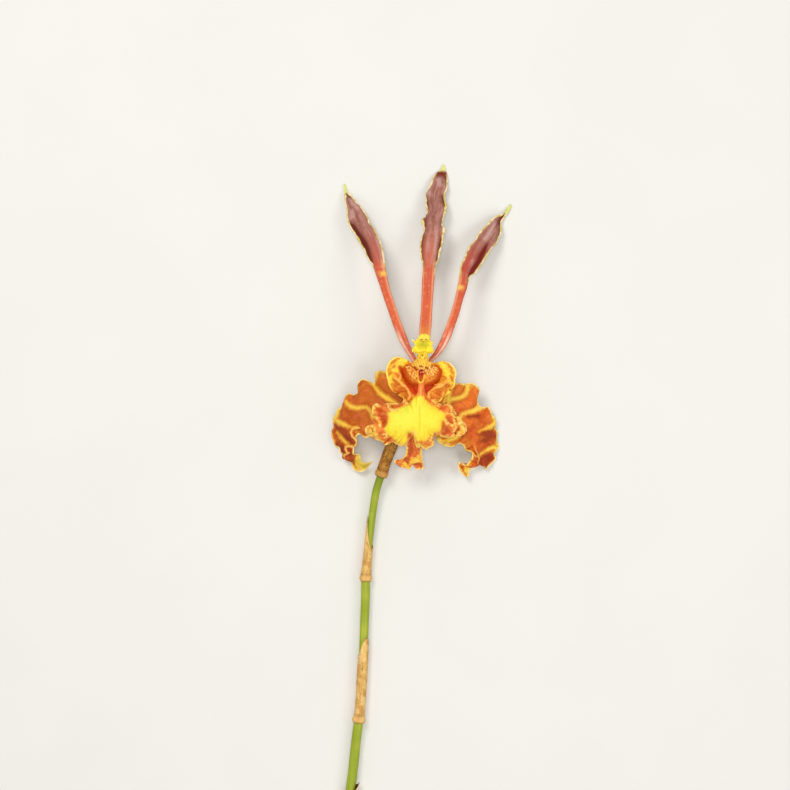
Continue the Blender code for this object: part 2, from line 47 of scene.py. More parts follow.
def spline(points, where, loop=False):  # a smooth curve through the points, read at places from 0 to 1
    points = np.array(points, float)
    if loop:
        padded, place = np.vstack([points[-1], points, points[:2]]), np.mod(where, 1) * len(points)
    else:
        padded = np.vstack([2 * points[0] - points[1], points, 2 * points[-1] - points[-2]])
        place = np.clip(where, 0, 1) * (len(points) - 1)
    index = np.minimum(place.astype(int), len(padded) - 4)
    t = (place - index)[:, None]
    a, b, c, d = (padded[index + k] for k in range(4))
    return 0.5 * (2 * b + (c - a) * t + (2 * a - 5 * b + 4 * c - d) * t**2 + (3 * b - a - 3 * c + d) * t**3)


def lengthAlong(points, loop=False):
    if loop:
        points = np.vstack([points, points[:1]])
    steps = np.linalg.norm(np.diff(points, axis=0), axis=1)
    return np.concatenate([[0], np.cumsum(steps)])


def evenly(points, count, width=3, loop=False):  # samples spaced evenly by length
    where = np.linspace(0, 1, fineSteps, endpoint=not loop)
    arc = lengthAlong(spline(points, where, loop)[:, :width], loop)
    where = np.append(where, 1.0) if loop else where
    wanted = np.linspace(0, arc[-1], count, endpoint=not loop)
    return spline(points, np.interp(wanted, arc, where), loop)


def smooth(values, reach):  # each one averaged with its neighbours round a loop
    return sum(np.roll(values, k, axis=0) for k in range(-reach, reach + 1)) / (2 * reach + 1)


def unit(vectors):
    return vectors / np.maximum(np.linalg.norm(vectors, axis=-1, keepdims=True), 1e-9)


def wobble(s, wavelength, seed):  # an uneven wave between about -1 and 1
    draw = np.random.default_rng(seed)
    total = 0
    for _ in range(4):
        pitch = wavelength * draw.uniform(0.65, 1.6)
        total = total + draw.uniform(0.5, 1) * np.sin(2 * np.pi * s / pitch + draw.uniform(0, 6.28))
    return total / 2


def ragged(s, spacing, seed):  # a jagged line between -1 and 1 with a corner about every spacing
    draw = np.random.default_rng(seed)
    knots = np.arange(-2 * spacing, np.max(s) + 3 * spacing, spacing)
    knots = knots + draw.uniform(-0.35, 0.35, len(knots)) * spacing
    return np.interp(s, knots, draw.uniform(-1, 1, len(knots)))


def step(value, low, high):  # 0 below low, 1 above high, smooth between
    t = np.clip((value - low) / (high - low), 0, 1)
    return t * t * (3 - 2 * t)


def bell(x, width, power=2):  # 1 at zero, fading to nothing on both sides
    return np.exp(-((x / width) ** power))


def strokes(grid, lines):  # signed distance, seen from above, to strokes of (x, y, half width)
    best = np.full(grid.shape[:-1], farApart)
    for line in lines:  # a stroke may be one point, and its half width may be left out
        line = np.array([(*point, 0)[:3] for point in line], float)
        for start, end in zip(line, line[1:] if len(line) > 1 else line):
            run = end[:2] - start[:2]
            t = np.clip(((grid[..., :2] - start[:2]) @ run) / max(run @ run, 1e-9), 0, 1)
            gap = np.linalg.norm(grid[..., :2] - start[:2] - t[..., None] * run, axis=-1)
            best = np.minimum(best, gap - start[2] - t * (end[2] - start[2]))
    return best


def insideOf(grid, loop):  # 1 where a point is inside a drawn outline, seen from above
    x, y = grid[..., 0], grid[..., 1]
    inside = np.zeros(x.shape, bool)
    for (x1, y1), (x2, y2) in zip(loop, np.roll(loop, -1, axis=0)):
        crossing = (y1 > y) != (y2 > y)
        inside ^= crossing & (x < (x2 - x1) * (y - y1) / (y2 - y1 + 1e-12) + x1)
    return inside


def around(count):  # angles all the way round
    return np.linspace(0, 2 * np.pi, count, endpoint=False)[None, :]


def quads(index):  # faces between neighbouring rows and columns of point numbers
    return np.stack([index[:-1, :-1], index[:-1, 1:], index[1:, 1:], index[1:, :-1]], -1).reshape(-1, 4)


def closeRing(ring, points, faces, values):  # fills a ring of points with a fan round one new point
    faces += [[a, b, len(points)] for a, b in zip(ring, ring[1:] + ring[:1])]
    for key in values:
        values[key] = np.append(values[key], values[key][ring].mean())
    return np.vstack([points, points[ring].mean(0)])


def addMesh(name, points, faces, material, values):
    mesh = bpy.data.meshes.new(name)
    mesh.from_pydata((np.asarray(points) * mm).tolist(), [], faces)
    build = bmesh.new()
    build.from_mesh(mesh)
    bmesh.ops.recalc_face_normals(build, faces=build.faces)
    build.to_mesh(mesh)
    build.free()
    for key, numbers in values.items():
        layer = mesh.attributes.new(key, "FLOAT", "POINT")
        layer.data.foreach_set("value", np.ascontiguousarray(numbers, np.float32).ravel())
    mesh.materials.append(material)
    mesh.shade_smooth()
    piece = bpy.data.objects.new(name, mesh)
    bpy.context.scene.collection.objects.link(piece)
    return piece


def dress(piece, slotName, *nodes):  # every piece here rides on the one body
    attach(piece, "root")
    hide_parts(*nodes)
    print(piece.name, len(piece.data.polygons), "faces")


class Sheet:  # rows by columns of points, with the values that its material reads
    def __init__(self, grid, loop=False, facing=(0, 0, 1)):
        self.grid, self.loop, self.facing, self.values = grid, loop, np.array(facing, float), {}

    def normals(self):
        along = np.gradient(self.grid, axis=0)
        if self.loop:
            across = np.roll(self.grid, -1, 1) - np.roll(self.grid, 1, 1)
        else:
            across = np.gradient(self.grid, axis=1)
        normals = unit(np.cross(along, across))
        return normals if (normals * self.facing).sum(-1).mean() > 0 else -normals

    def push(self, amount):
        self.grid = self.grid + self.normals() * amount[..., None]

    def mark(self, shape, *keys):  # how far each point is from the drawn strokes
        self.values.update({key: strokes(self.grid, shape[key]) for key in keys})

    def build(self, name, thickness, material, centre=False):  # centre closes the first ring
        rows, columns = self.grid.shape[:2]
        size = rows * columns
        half = self.normals() * np.broadcast_to(thickness, (rows, columns))[..., None] / 2
        points = np.concatenate([(self.grid + half).reshape(-1, 3), (self.grid - half).reshape(-1, 3)])
        index = np.arange(size).reshape(rows, columns)
        if self.loop:
            index = np.hstack([index, index[:, :1]])
            rims = [index[-1]] if centre else [index[-1], index[0]]
        else:
            rims = [np.concatenate([index[0], index[1:, -1], index[-1, -2::-1], index[-2::-1, 0]])]
        front = quads(index)
        faces = front.tolist() + (front[:, ::-1] + size).tolist()
        for rim in rims:
            faces += quads(np.stack([rim, rim + size])).tolist()
        shape = rows, columns
        values = {key: np.tile(np.broadcast_to(v, shape).ravel(), 2) for key, v in self.values.items()}
        values["front"] = np.repeat([1.0, 0.0], size)
        for shift in (0, size) if centre else ():
            points = closeRing((index[0, :-1] + shift).tolist(), points, faces, values)
        return addMesh(name, points, faces, material, values)


def tubeFrame(line):  # directions across a line of points: towards +X and towards +Z
    ahead = unit(np.gradient(line, axis=0))
    sideways = unit([1.0, 0.0, 0.0] - ahead * ahead[:, :1])
    return sideways, np.cross(sideways, ahead)


def spokes(line, turn):  # directions outwards, all the way round a line of points
    sideways, upward = tubeFrame(line)
    return sideways[:, None] * np.cos(turn)[..., None] + upward[:, None] * np.sin(turn)[..., None]


def ruled(inner, outer, columns):  # straight rows from an inner line to a margin: share, points, length to go
    share = np.linspace(0, 1, columns)[None, :]
    points = inner[:, None] + (outer - inner)[:, None] * share[..., None]
    return share, points, np.linalg.norm(outer - inner, axis=1)[:, None] * (1 - share)


def disc(outline, centre, rings, columns, first):  # rings round a middle: share of the way out, points
    outline = evenly(outline, columns, width=2, loop=True)
    share = np.linspace(first, 1, rings)[:, None]
    return share, centre + (outline - centre)[None] * share[..., None]


def loft(name, grid, material, values):  # a closed body through rings of points
    rows, columns = grid.shape[:2]
    index = np.arange(rows * columns).reshape(rows, columns)
    faces = quads(np.hstack([index, index[:, :1]])).tolist()
    points = grid.reshape(-1, 3)
    values = {key: np.broadcast_to(v, (rows, columns)).ravel() for key, v in values.items()}
    for row in (0, -1):
        points = closeRing(index[row].tolist(), points, faces, values)
    return addMesh(name, points, faces, material, values)


def paint(red, green, blue):  # a screen colour, 0 to 255, as the shader wants it
    def linear(c):
        c /= 255
        return c / 12.92 if c <= 0.04045 else ((c + 0.055) / 1.055) ** 2.4

    return (linear(red), linear(green), linear(blue), 1.0)


def palette(**colours):  # named screen colours
    return {name: paint(*colour) for name, colour in colours.items()}


class Wire:  # a socket that can be used in sums
    def __init__(self, graph, socket):
        self.graph, self.socket = graph, socket

    def sum(self, operation, *terms):
        return self.graph.node("ShaderNodeMath", {"operation": operation}, dict(enumerate(terms)))

    def __add__(self, other):
        return self.sum("ADD", self, other)

    def __radd__(self, other):
        return self.sum("ADD", other, self)

    def __sub__(self, other):
        return self.sum("SUBTRACT", self, other)

    def __rsub__(self, other):
        return self.sum("SUBTRACT", other, self)

    def __mul__(self, other):
        return self.sum("MULTIPLY", self, other)

    def __rmul__(self, other):
        return self.sum("MULTIPLY", other, self)

    def __abs__(self):
        return self.sum("ABSOLUTE", self)

    def ease(self, low, high):  # 0 at low, 1 at high, smooth between; low may be the greater
        sockets = {"Value": self, "From Min": low, "From Max": high}
        return self.graph.node("ShaderNodeMapRange", {"interpolation_type": "SMOOTHSTEP"}, sockets)

    def stir(self, noise, amount):  # moves a value up and down, so that what follows it has a ragged edge
        return self + (noise - 0.5) * amount

    def near(self, middle, reach):  # 1 at the middle, 0 a reach away on each side
        return abs(self - middle).ease(reach, 0)


class Graph:  # one material's nodes
    def __init__(self, name):
        self.material = bpy.data.materials.new(name)
        self.material.use_nodes = True
        self.tree = self.material.node_tree
        self.tree.nodes.clear()
        metres = self.node("ShaderNodeTexCoord", out="Object")
        self.place = self.node("ShaderNodeVectorMath", {"operation": "SCALE"}, {0: metres, "Scale": 1 / mm})

    def node(self, kind, settings=None, sockets=None, out=0):
        made = self.tree.nodes.new(kind)
        for key, value in (settings or {}).items():
            setattr(made, key, value)
        for key, value in (sockets or {}).items():
            if isinstance(value, Wire):
                self.tree.links.new(value.socket, made.inputs[key])
            else:
                made.inputs[key].default_value = value
        return Wire(self, made.outputs[out]) if made.outputs else made

    def value(self, name):
        return self.node("ShaderNodeAttribute", {"attribute_name": name}, out="Fac")

    def read(self, *names):
        return [self.value(name) for name in names]

    def axis(self, name):  # a coordinate in mm
        return self.node("ShaderNodeSeparateXYZ", None, {0: self.place}, out=name)

    def noise(self, size, detail=2.0, at=None, rough=0.5):  # around 0.5, with lumps of about size mm
        sockets = {"Vector": at or self.place, "Scale": 1 / size, "Detail": detail, "Roughness": rough}
        return self.node("ShaderNodeTexNoise", None, sockets)

    def fibres(self, across, along, detail=3.0, rough=0.5, size=1.0):  # noise drawn out one way
        at = self.node("ShaderNodeCombineXYZ", None, {0: across, 1: along, 2: 0.0})
        return self.noise(size, detail, at, rough)

    def mix(self, mask, first, second):
        settings = {"data_type": "RGBA", "blend_type": "MIX", "clamp_factor": True}
        return self.node("ShaderNodeMix", settings, {0: mask, 6: first, 7: second}, out=2)

    def coat(self, colour, layers):  # lays colours over each other, each with its mask
        for mask, over in layers:
            colour = self.mix(mask, colour, over)
        return colour

    def finish(self, colour, roughness, relief, depth, **shader):  # depth of the relief in mm
        bump = self.node("ShaderNodeBump", None, {"Height": relief, "Strength": 1.0, "Distance": depth * mm})
        sockets = {"Base Color": colour, "Roughness": roughness, "Normal": bump, "Specular IOR Level": 0.2}
        sockets.update({key.replace("_", " "): value for key, value in shader.items()})
        surface = self.node("ShaderNodeBsdfPrincipled", None, sockets)
        self.node("ShaderNodeOutputMaterial", None, {"Surface": surface})
        return self.material


stem = {
    "line": [(-35.5, -152.6, 3.4), (-33.2, -138, 3.4), (-31, -124, 3.3), (-29.4, -109, 3.2),
        (-27.7, -95.5, 3.3), (-26.6, -78, 3.1), (-25.8, -60, 3), (-25.2, -45, 3), (-24.9, -33.8, 3.1),
        (-23.6, -20, 3.3), (-21.8, -5, 3.8), (-20.2, 4.5, 4.6), (-17.7, 12.6, 5.9), (-15.9, 18, 7),
        (-14.8, 21, 7.7)],
    "radius": [(-153, 2.2), (-150, 2.05), (-132, 2), (-128, 2.15), (-103, 2.12), (-99, 1.9), (-70, 1.86),
        (-60, 1.93), (-39, 1.98), (-35, 1.86), (-28, 1.62), (-18, 1.62), (0, 1.66), (9, 1.7), (14, 1.75),
        (17, 1.6), (21, 0.9)],
    "ribs": 17, "ribHeight": 0.05,
    **palette(
        young=(176, 184, 62), green=(152, 166, 44), deep=(112, 128, 26), pale=(196, 196, 98),
        scar=(150, 118, 62), pith=(202, 204, 140), skin=(160, 160, 84),
    ),
}


def stemLook():
    g = Graph("stemGreen")
    turn, along = g.value("turn"), g.axis("Y")
    fibres = g.fibres(turn * 3.2, along * 0.045)
    patches = g.noise(14, 2)
    colour = g.coat(stem["green"], [
        (patches.ease(0.36, 0.64), stem["young"]),
        (fibres.ease(0.45, 0.75) * 0.45, stem["deep"]),
        (fibres.ease(0.42, 0.2) * 0.4, stem["pale"]),
    ])
    under = along.ease(1, 10) * 0.75  # in the bract's shade it is a deeper green
    colour = g.mix(under, colour, stem["deep"])
    specks = g.noise(0.55, 1).ease(0.69, 0.75) * 0.35
    colour = g.mix(specks, colour, stem["scar"])
    cut = g.value("cut")
    colour = g.mix(cut, colour, g.mix(g.noise(0.4).ease(0.4, 0.6), stem["pith"], stem["skin"]))
    rough = 0.42 + g.noise(2) * 0.14 + cut * 0.3
    relief = fibres + g.noise(0.25, 2) * 0.3
    return g.finish(colour, rough, relief, 0.12, Subsurface_Weight=0.06, Subsurface_Scale=0.001)


def makeStem():
    rows, columns = 400, 44
    line, turn = evenly(stem["line"], rows), around(columns)
    radius = np.interp(line[:, 1], *zip(*stem["radius"]))[:, None]
    arc = lengthAlong(line)[:, None]
    radius = radius + stem["ribHeight"] * np.cos(stem["ribs"] * turn + 0.02 * arc) * np.ones_like(arc)
    radius = radius * (1 + 0.016 * wobble(arc, 21, 3) + 0.012 * wobble(arc + 9 * np.cos(turn), 13, 4))
    radius[:3] *= np.array([[0.9], [0.97], [0.995]])
    grid = line[:, None] + spokes(line, turn) * radius[..., None]
    values = {"turn": np.minimum(turn, 2 * np.pi - turn), "cut": (arc < 0.1) * 1.0}
    dress(loft("stemStalk", grid, stemLook(), values), "stem", "flower_stem")


# sheaths: foot in Y; bore as distance, radius; mouth as degrees round from the right, length
baseSheath = {
    "node": "base_sheath", "foot": -148.6, "bore": [(0, 2.3), (3, 2.16), (12, 2.2), (22, 2.3)], "wall": 0.3,
    "end": 0.16, "collar": 0.58, "flare": (0, 1.25), "seed": 11, "slot": "dry_sheath",
    "mouth": [(0, 21.6), (40, 18.6), (85, 15.2), (150, 14.6), (200, 15.6), (260, 17.4), (320, 20.4)],
}
lowerSheath = {
    "node": "lower_sheath", "foot": -100.9,
    "bore": [(0, 2.14), (3.2, 1.98), (8, 2.02), (20, 2.1), (38, 2.06)],
    "wall": 0.26, "end": 0.12, "collar": 0.6, "flare": (20, 0.1), "seed": 12, "slot": "dry_sheath",
    "mouth": [(0, 37), (28, 38.6), (60, 38.8), (88, 37.6), (112, 35.4), (140, 31.4), (170, 29.8), (225, 27),
        (280, 26), (330, 33)],
}
upperSheath = {
    "node": "upper_sheath", "foot": -36.6,
    "bore": [(0, 2.1), (2.6, 1.98), (7, 1.84), (12, 1.76), (30, 1.8)],
    "wall": 0.24, "end": 0.1, "collar": 0.46, "flare": (170, 0.3), "seed": 13, "slot": "dry_sheath",
    "mouth": [(0, 15.8), (45, 15.2), (62, 15.6), (84, 17.6), (108, 21), (136, 25.6), (164, 30.6),
        (186, 29.4), (212, 24), (250, 20), (310, 17)],
}
flowerBract = {
    "node": "flower_bract", "foot": 11.2, "bore": [(0, 2.3), (3, 2.2), (10, 2.34), (20, 2.4)], "wall": 0.34,
    "end": 0.2, "collar": 0.34, "flare": (90, 0.1), "seed": 14, "slot": "brown_bract",
    "mouth": [(0, 18.4), (60, 20), (120, 20.4), (180, 19), (250, 16.8), (310, 16.6)],
}
bractLine = stem["line"][10:] + [(-13.3, 24.6, 8.6), (-11.6, 29.0, 9.5), (-9.8, 33.4, 10.1)]
dryTan = {
    "spots": (0.6, 0.68),
    **palette(
        light=(242, 202, 126), main=(224, 180, 100), warm=(196, 138, 66), fibre=(158, 102, 48),
        spot=(98, 56, 24), collar=(232, 184, 112), inside=(112, 74, 36), rim=(170, 116, 56),
    ),
}
dryBrown = {
    "spots": (0.52, 0.62),
    **palette(
        light=(206, 150, 66), main=(176, 114, 36), warm=(150, 90, 26), fibre=(112, 60, 16), spot=(74, 36, 8),
        collar=(208, 154, 84), inside=(78, 44, 16), rim=(128, 78, 28),
    ),
}


def dryLook(name, colours):
    g = Graph(name)
    turn, rise, edge, front = g.read("turn", "rise", "edge", "front")
    fibres = g.fibres(turn * 5.5, rise * 0.13, 4, 0.62)
    fine = g.fibres(turn * 16, rise * 0.3, 2)
    blotch = g.noise(3.2, 3)
    colour = g.coat(colours["light"], [
        (blotch.ease(0.35, 0.68), colours["main"]),
        (g.noise(5, 3).ease(0.46, 0.66) * 0.75, colours["warm"]),
        (fibres.ease(0.5, 0.72) * 0.75, colours["fibre"]),
        (fine.ease(0.48, 0.78) * 0.45, colours["warm"]),
        (fine.ease(0.45, 0.25) * 0.3, colours["light"]),
    ])
    spots = g.noise(0.75, 3, rough=0.6).ease(*colours["spots"])
    colour = g.mix(spots * 0.75, colour, colours["spot"])
    ring = rise.ease(3.2, 1.6)
    colour = g.mix(ring * 0.6, colour, colours["collar"])
    # painted shade in the creases round the collar and at its foot
    below = (rise + (blotch - 0.5)).near(3.4, 1.2) * 0.4 + rise.ease(0.55, 0.1) * 0.8
    colour = g.coat(colour, [
        (below, colours["fibre"]),
        (edge.ease(0.7, 0.1) * 0.7, colours["rim"]),
        (1 - front, colours["inside"]),
    ])
    rough = 0.62 + fibres * 0.2
    return g.finish(colour, rough, fibres * 0.7 + fine * 0.5 + blotch * 0.4 - spots * 0.2, 0.26)


def makeSheath(name, shape, line, material):
    rows, columns = 84, 56
    line = spline(line, np.linspace(0, 1, 1200))
    arc = lengthAlong(line) - np.interp(shape["foot"], line[:, 1], lengthAlong(line))
    turn = around(columns)[0]
    degrees, lengths = zip(*shape["mouth"])
    closed = np.interp(np.degrees(turn), (*degrees, 360), (*lengths, lengths[0]))
    soft = smooth(closed, 2)
    torn = 0.35 * ragged(turn * 2.3, 0.7, shape["seed"]) + 0.15 * ragged(turn * 2.3, 0.25, shape["seed"] + 1)
    share = np.linspace(0, 1, rows)[:, None] ** 1.25  # closer rows at the collar
    distance = (soft + torn)[None, :] * share
    centre = np.stack([np.interp(distance, arc, line[:, k]) for k in range(3)], -1)
    sideways, upward = (
        np.stack([np.interp(distance, arc, f[:, k]) for k in range(3)], -1) for f in tubeFrame(line)
    )
    out = unit(sideways * np.cos(turn)[:, None] + upward * np.sin(turn)[:, None])
    left = soft[None, :] - distance  # length still to go to the mouth
    # the collar swells quickly from the foot and runs out gently into the tube
    knobs = 1 + 0.2 * wobble(turn * 2.6, 2.4, shape["seed"] + 2)[None, :]
    bulge = bell(distance - 1.25, np.where(distance < 1.25, 0.95, 1.25)) * knobs
    bulge += 0.22 * bell(distance - 2.9, 2.2)
    aim, opening = shape["flare"]
    flare = opening * np.exp(-left / 2.6) * (0.35 + 0.65 * np.cos(turn - math.radians(aim)).clip(0))[None, :]
    creased = 0.05 * wobble(turn * 2.4 + distance * 0.03, 1.5, shape["seed"] + 3)
    creased = creased + 0.04 * wobble(distance * 1.0 + 3 * np.sin(turn), 3.0, shape["seed"] + 4)
    wall = shape["wall"] * step(left, 0, 5) + shape["end"] * (1 - step(left, 0, 5)) + shape["collar"] * bulge
    reach = np.interp(distance, *zip(*shape["bore"])) + flare + creased.clip(0) + wall / 2 + creased * 0.4
    sheet = Sheet(centre + out * reach[..., None], loop=True, facing=out)
    sheet.values = {"turn": np.minimum(turn, 2 * np.pi - turn)[None, :], "rise": distance, "edge": left}
    dress(sheet.build(name, wall, material), shape["slot"], shape["node"])


# line: centre and radius
pedicel = {
    "line": [(-14.6, 21.6, 8, 1.15), (-12.8, 26, 9, 1.15), (-9.9, 33.5, 10.2, 1.15), (-6.8, 41.5, 10.9, 1.3),
        (-3.9, 49, 11.1, 1.55), (-1.6, 55.5, 11.2, 1.9), (-0.1, 60, 11.9, 1.9), (0.4, 62, 13.4, 1.9),
        (0.4, 62.3, 15.4, 2.3)],
    **palette(green=(150, 158, 60), pale=(186, 186, 96), red=(150, 84, 44)),
}


def makePedicel():
    g = Graph("pedicelGreen")
    turn, along = g.value("turn"), g.value("along")
    fibres = g.fibres(turn * 4, along * 0.2)
    colour = g.mix(g.noise(5).ease(0.4, 0.65), pedicel["green"], pedicel["pale"])
    colour = g.mix(fibres.ease(0.48, 0.7) * 0.5, colour, pedicel["red"])
    material = g.finish(colour, 0.42 + fibres * 0.1, fibres, 0.15)
    rows, columns = 110, 44
    line, turns = evenly(pedicel["line"], rows), around(columns)
    arc = lengthAlong(line[:, :3])[:, None]
    ribs = 0.1 * step(arc, 18, 34) * (1 - step(arc, 42, 46)) * np.cos(6 * turns + 0.12 * arc)
    radius = line[:, 3:4] * (1 + ribs + 0.02 * wobble(arc, 7, 21))
    values = {"turn": np.minimum(turns, 2 * np.pi - turns), "along": arc}
    grid = line[:, None, :3] + spokes(line[:, :3], turns) * radius[..., None]
    dress(loft("pedicelAndOvary", grid, material, values), "stem", "pedicel_and_ovary")


makeStem()
tanLook, brownLook = dryLook("drySheath", dryTan), dryLook("brownBract", dryBrown)
makeSheath("baseSheath", baseSheath, stem["line"], tanLook)
makeSheath("lowerSheath", lowerSheath, stem["line"], tanLook)
makeSheath("upperSheath", upperSheath, stem["line"], tanLook)
makeSheath("flowerBract", flowerBract, bractLine, brownLook)
makePedicel()


def blade(stations, rows, columns, ridge=0.0):  # a sheet between two edges, crowned along its middle
    where = np.linspace(0, 1, fineSteps)
    fine = spline(stations, where)
    arc = lengthAlong((fine[:, :3] + fine[:, 3:6]) / 2)
    rails = spline(stations, np.interp(np.linspace(0, arc[-1], rows), arc, where))
    left, right, crown = rails[:, :3], rails[:, 3:6], rails[:, 6]
    side = np.sin(np.linspace(-np.pi / 2, np.pi / 2, columns))
    side = 0.65 * side + 0.35 * np.linspace(-1, 1, columns)  # closer together at the edges
    along = np.gradient((left + right) / 2, axis=0)
    normal = unit(np.cross(right - left, along))
    normal = normal * np.sign(normal[:, 2].mean())
    hump = 1 - ((side - ridge) / np.where(side < ridge, 1 + ridge, 1 - ridge)) ** 2
    grid = left[:, None] + (right - left)[:, None] * (side[None, :, None] + 1) / 2
    grid = grid + normal[:, None] * (crown[:, None] * hump[None, :])[..., None]
    sheet = Sheet(grid)
    sheet.side = np.broadcast_to(side[None, :], grid.shape[:2])
    sheet.arc = np.linspace(0, arc[-1], rows)[:, None]
    return sheet


def trace(sheet, outline, sign, reach):  # pulls one edge sideways onto a finer drawn outline
    edge = sheet.grid[:, -1 if sign > 0 else 0, :2]
    first, last = (np.argmin(np.linalg.norm(edge - np.array(p), axis=1)) for p in (outline[0], outline[-1]))
    last = max(last, first + 2)
    drawn = evenly(outline, last - first + 1, width=2)
    share = lengthAlong(edge[first:last + 1])
    share = share / share[-1]
    at = np.linspace(0, 1, len(share))
    pull = np.zeros_like(edge)
    for k in range(2):
        pull[first:last + 1, k] = np.interp(share, at, drawn[:, k]) - edge[first:last + 1, k]
    pull *= step(np.arange(len(edge)), first - 1, first + 6)[:, None]
    weight = np.clip((sheet.side * sign - 1 + reach) / reach, 0, 1) ** 1.6
    sheet.grid[..., :2] += pull[:, None] * weight[..., None]


def trim(sheet, left, right, leftReach, rightReach):  # fits both edges to their outlines and measures them
    trace(sheet, left, -1, leftReach)
    trace(sheet, right, 1, rightReach)
    left, right = sheet.grid[:, 0], sheet.grid[:, -1]
    sheet.leftArc, sheet.rightArc = lengthAlong(left)[:, None], lengthAlong(right)[:, None]
    across = np.linalg.norm(np.diff(sheet.grid, axis=1), axis=-1)
    fromLeft = np.concatenate([np.zeros((len(left), 1)), np.cumsum(across, axis=1)], axis=1)
    sheet.width = fromLeft[:, -1:]
    sheet.fromLeft, sheet.fromRight = fromLeft, sheet.width - fromLeft
    sheet.edge = np.minimum(fromLeft, sheet.fromRight)


# the three upright parts: stations of left edge, right edge, crown; then drawn edges and strokes
dorsalSepal = {
    "node": "dorsal_sepal", "ridge": 0, "seed": 31,
    "stations": [(-0.3, 63.6, 16.05, 2.2, 63.6, 16.05, 0), (-0.8, 68, 16.3, 3.5, 68, 16.3, 0.3),
        (-1, 73, 17, 4.2, 73, 17, 0.6), (-0.5, 82, 18.1, 4.7, 82, 18.1, 0.7),
        (0.1, 91, 18.3, 5.5, 91, 18.3, 0.8), (0.6, 101, 17.2, 5.9, 101, 17.2, 0.9),
        (0.4, 107.5, 15.4, 7, 107.5, 15.4, 1.4), (-0.7, 113.5, 13.2, 8.8, 113.5, 13.2, 1.9),
        (0.4, 118.5, 11.4, 9.8, 118.5, 11.4, 2), (1.4, 123, 9.6, 10.4, 123, 9.6, 2),
        (0.2, 127, 8, 10, 127, 8, 2), (2.5, 131.5, 6.3, 11, 131.5, 6.3, 1.9),
        (1.5, 136.5, 4.5, 10.7, 136.5, 4.5, 1.8), (2.6, 141, 2.9, 11.5, 141, 2.9, 1.7),
        (5, 145, 1.7, 11.2, 145, 1.7, 1.2), (7.8, 148, 0.9, 10.6, 148, 0.9, 0.6),
        (10.1, 152.7, 0.4, 10.7, 152.8, 0.4, 0.1)],
    "left": [(-1.1, 74.2), (-0.6, 79.6), (-0.1, 85), (0.2, 90.4), (0.4, 95.9), (0.6, 101.4), (0.8, 106.4),
        (0.1, 109.1), (-0.5, 111.9), (-0.5, 114.7), (-0.2, 118), (0.9, 120.6), (1.4, 122.2), (0.9, 124.2),
        (0.2, 126.2), (0.7, 127.8), (1.8, 128.6), (2.6, 129.9), (2.6, 132.6), (1.9, 134.9), (2.2, 137.7),
        (2.4, 140), (3.8, 142.2), (4.9, 144.5), (5.1, 146.2), (6.4, 148.4), (8.2, 149.9), (9.4, 150.7),
        (9.9, 151.8), (10.2, 152.6)],
    "right": [(4.1, 74.2), (4.7, 79.6), (4.9, 85), (5.2, 90.4), (5.6, 95.9), (6.1, 101.4), (6.7, 106.4),
        (7.8, 108.2), (8.2, 109.9), (8.8, 112.5), (9.4, 114.7), (10, 118), (10.2, 120.2), (10.9, 121.6),
        (10.9, 123.1), (9.9, 124.6), (9.7, 125.6), (10.1, 127.2), (10.8, 129.8), (11.6, 131.5),
        (11.9, 133.8), (11.2, 136), (11, 137.7), (11.3, 140), (12, 141.7), (12.3, 144.5), (12.4, 146.2),
        (11.9, 149), (11.2, 150.7), (11, 151.8), (10.6, 152.6)],
    "dark": [[(2.7, 137.2, 0.2), (2.9, 135.3, 0.35), (3.1, 133.2, 0.15)], [(9.9, 138, 0.2),
        (10.3, 135.9, 0.5), (10.8, 134.3, 0.35)], [(7.4, 148.1, 0.3), (8.8, 149.1, 0.7), (10.7, 148.3, 0.5),
        (11.7, 146.2, 0.3), (12, 144.4, 0.1)], [(9.4, 119.5, 0.2), (8.5, 116.2, 0.35), (8, 112.5, 0.4),
        (7.3, 109.7, 0.4), (6.8, 106, 0.3)], [(1.2, 120.3, 0.1), (0.5, 116.6, 0.25), (0.2, 112.5, 0.25),
        (0.3, 109.7, 0.3), (0.9, 106.4, 0.2)], [(2.2, 128.5, 0.1), (2, 125.8, 0.15), (1.6, 122.5, 0.15)],
        [(9.7, 127.4, 0.1), (9.3, 125, 0.2)]],
    "pale": [[(0.7, 127, 0.35), (1.1, 125.4, 0.45)], [(10.2, 123.7, 0.4), (10.2, 121.2, 0.5)],
        [(10.9, 133.3, 0.3), (10.7, 130, 0.4), (10.1, 127.6, 0.25)]],
    "sheen": [[(4.1, 139.8, 0.6), (5, 138.2, 0.4)], [(3.2, 116.6, 0.1), (2.9, 112.5, 0.12)],
        [(6.8, 124, 0.2), (6.7, 118.3, 0.5), (6.5, 114.2, 0.6), (6.1, 110.9, 0.6), (5.6, 106.8, 0.5)],
        [(8.2, 145.5, 0.8), (8.6, 143.5, 0.8)]],
    "blade": (101, 111), "tip": 149.6, "band": 0, "flank": 0, "groove": 0.42, "heavy": 1.7, "wave": 0.6,
    **palette(deep=(112, 44, 18), low=(196, 106, 82)),
}
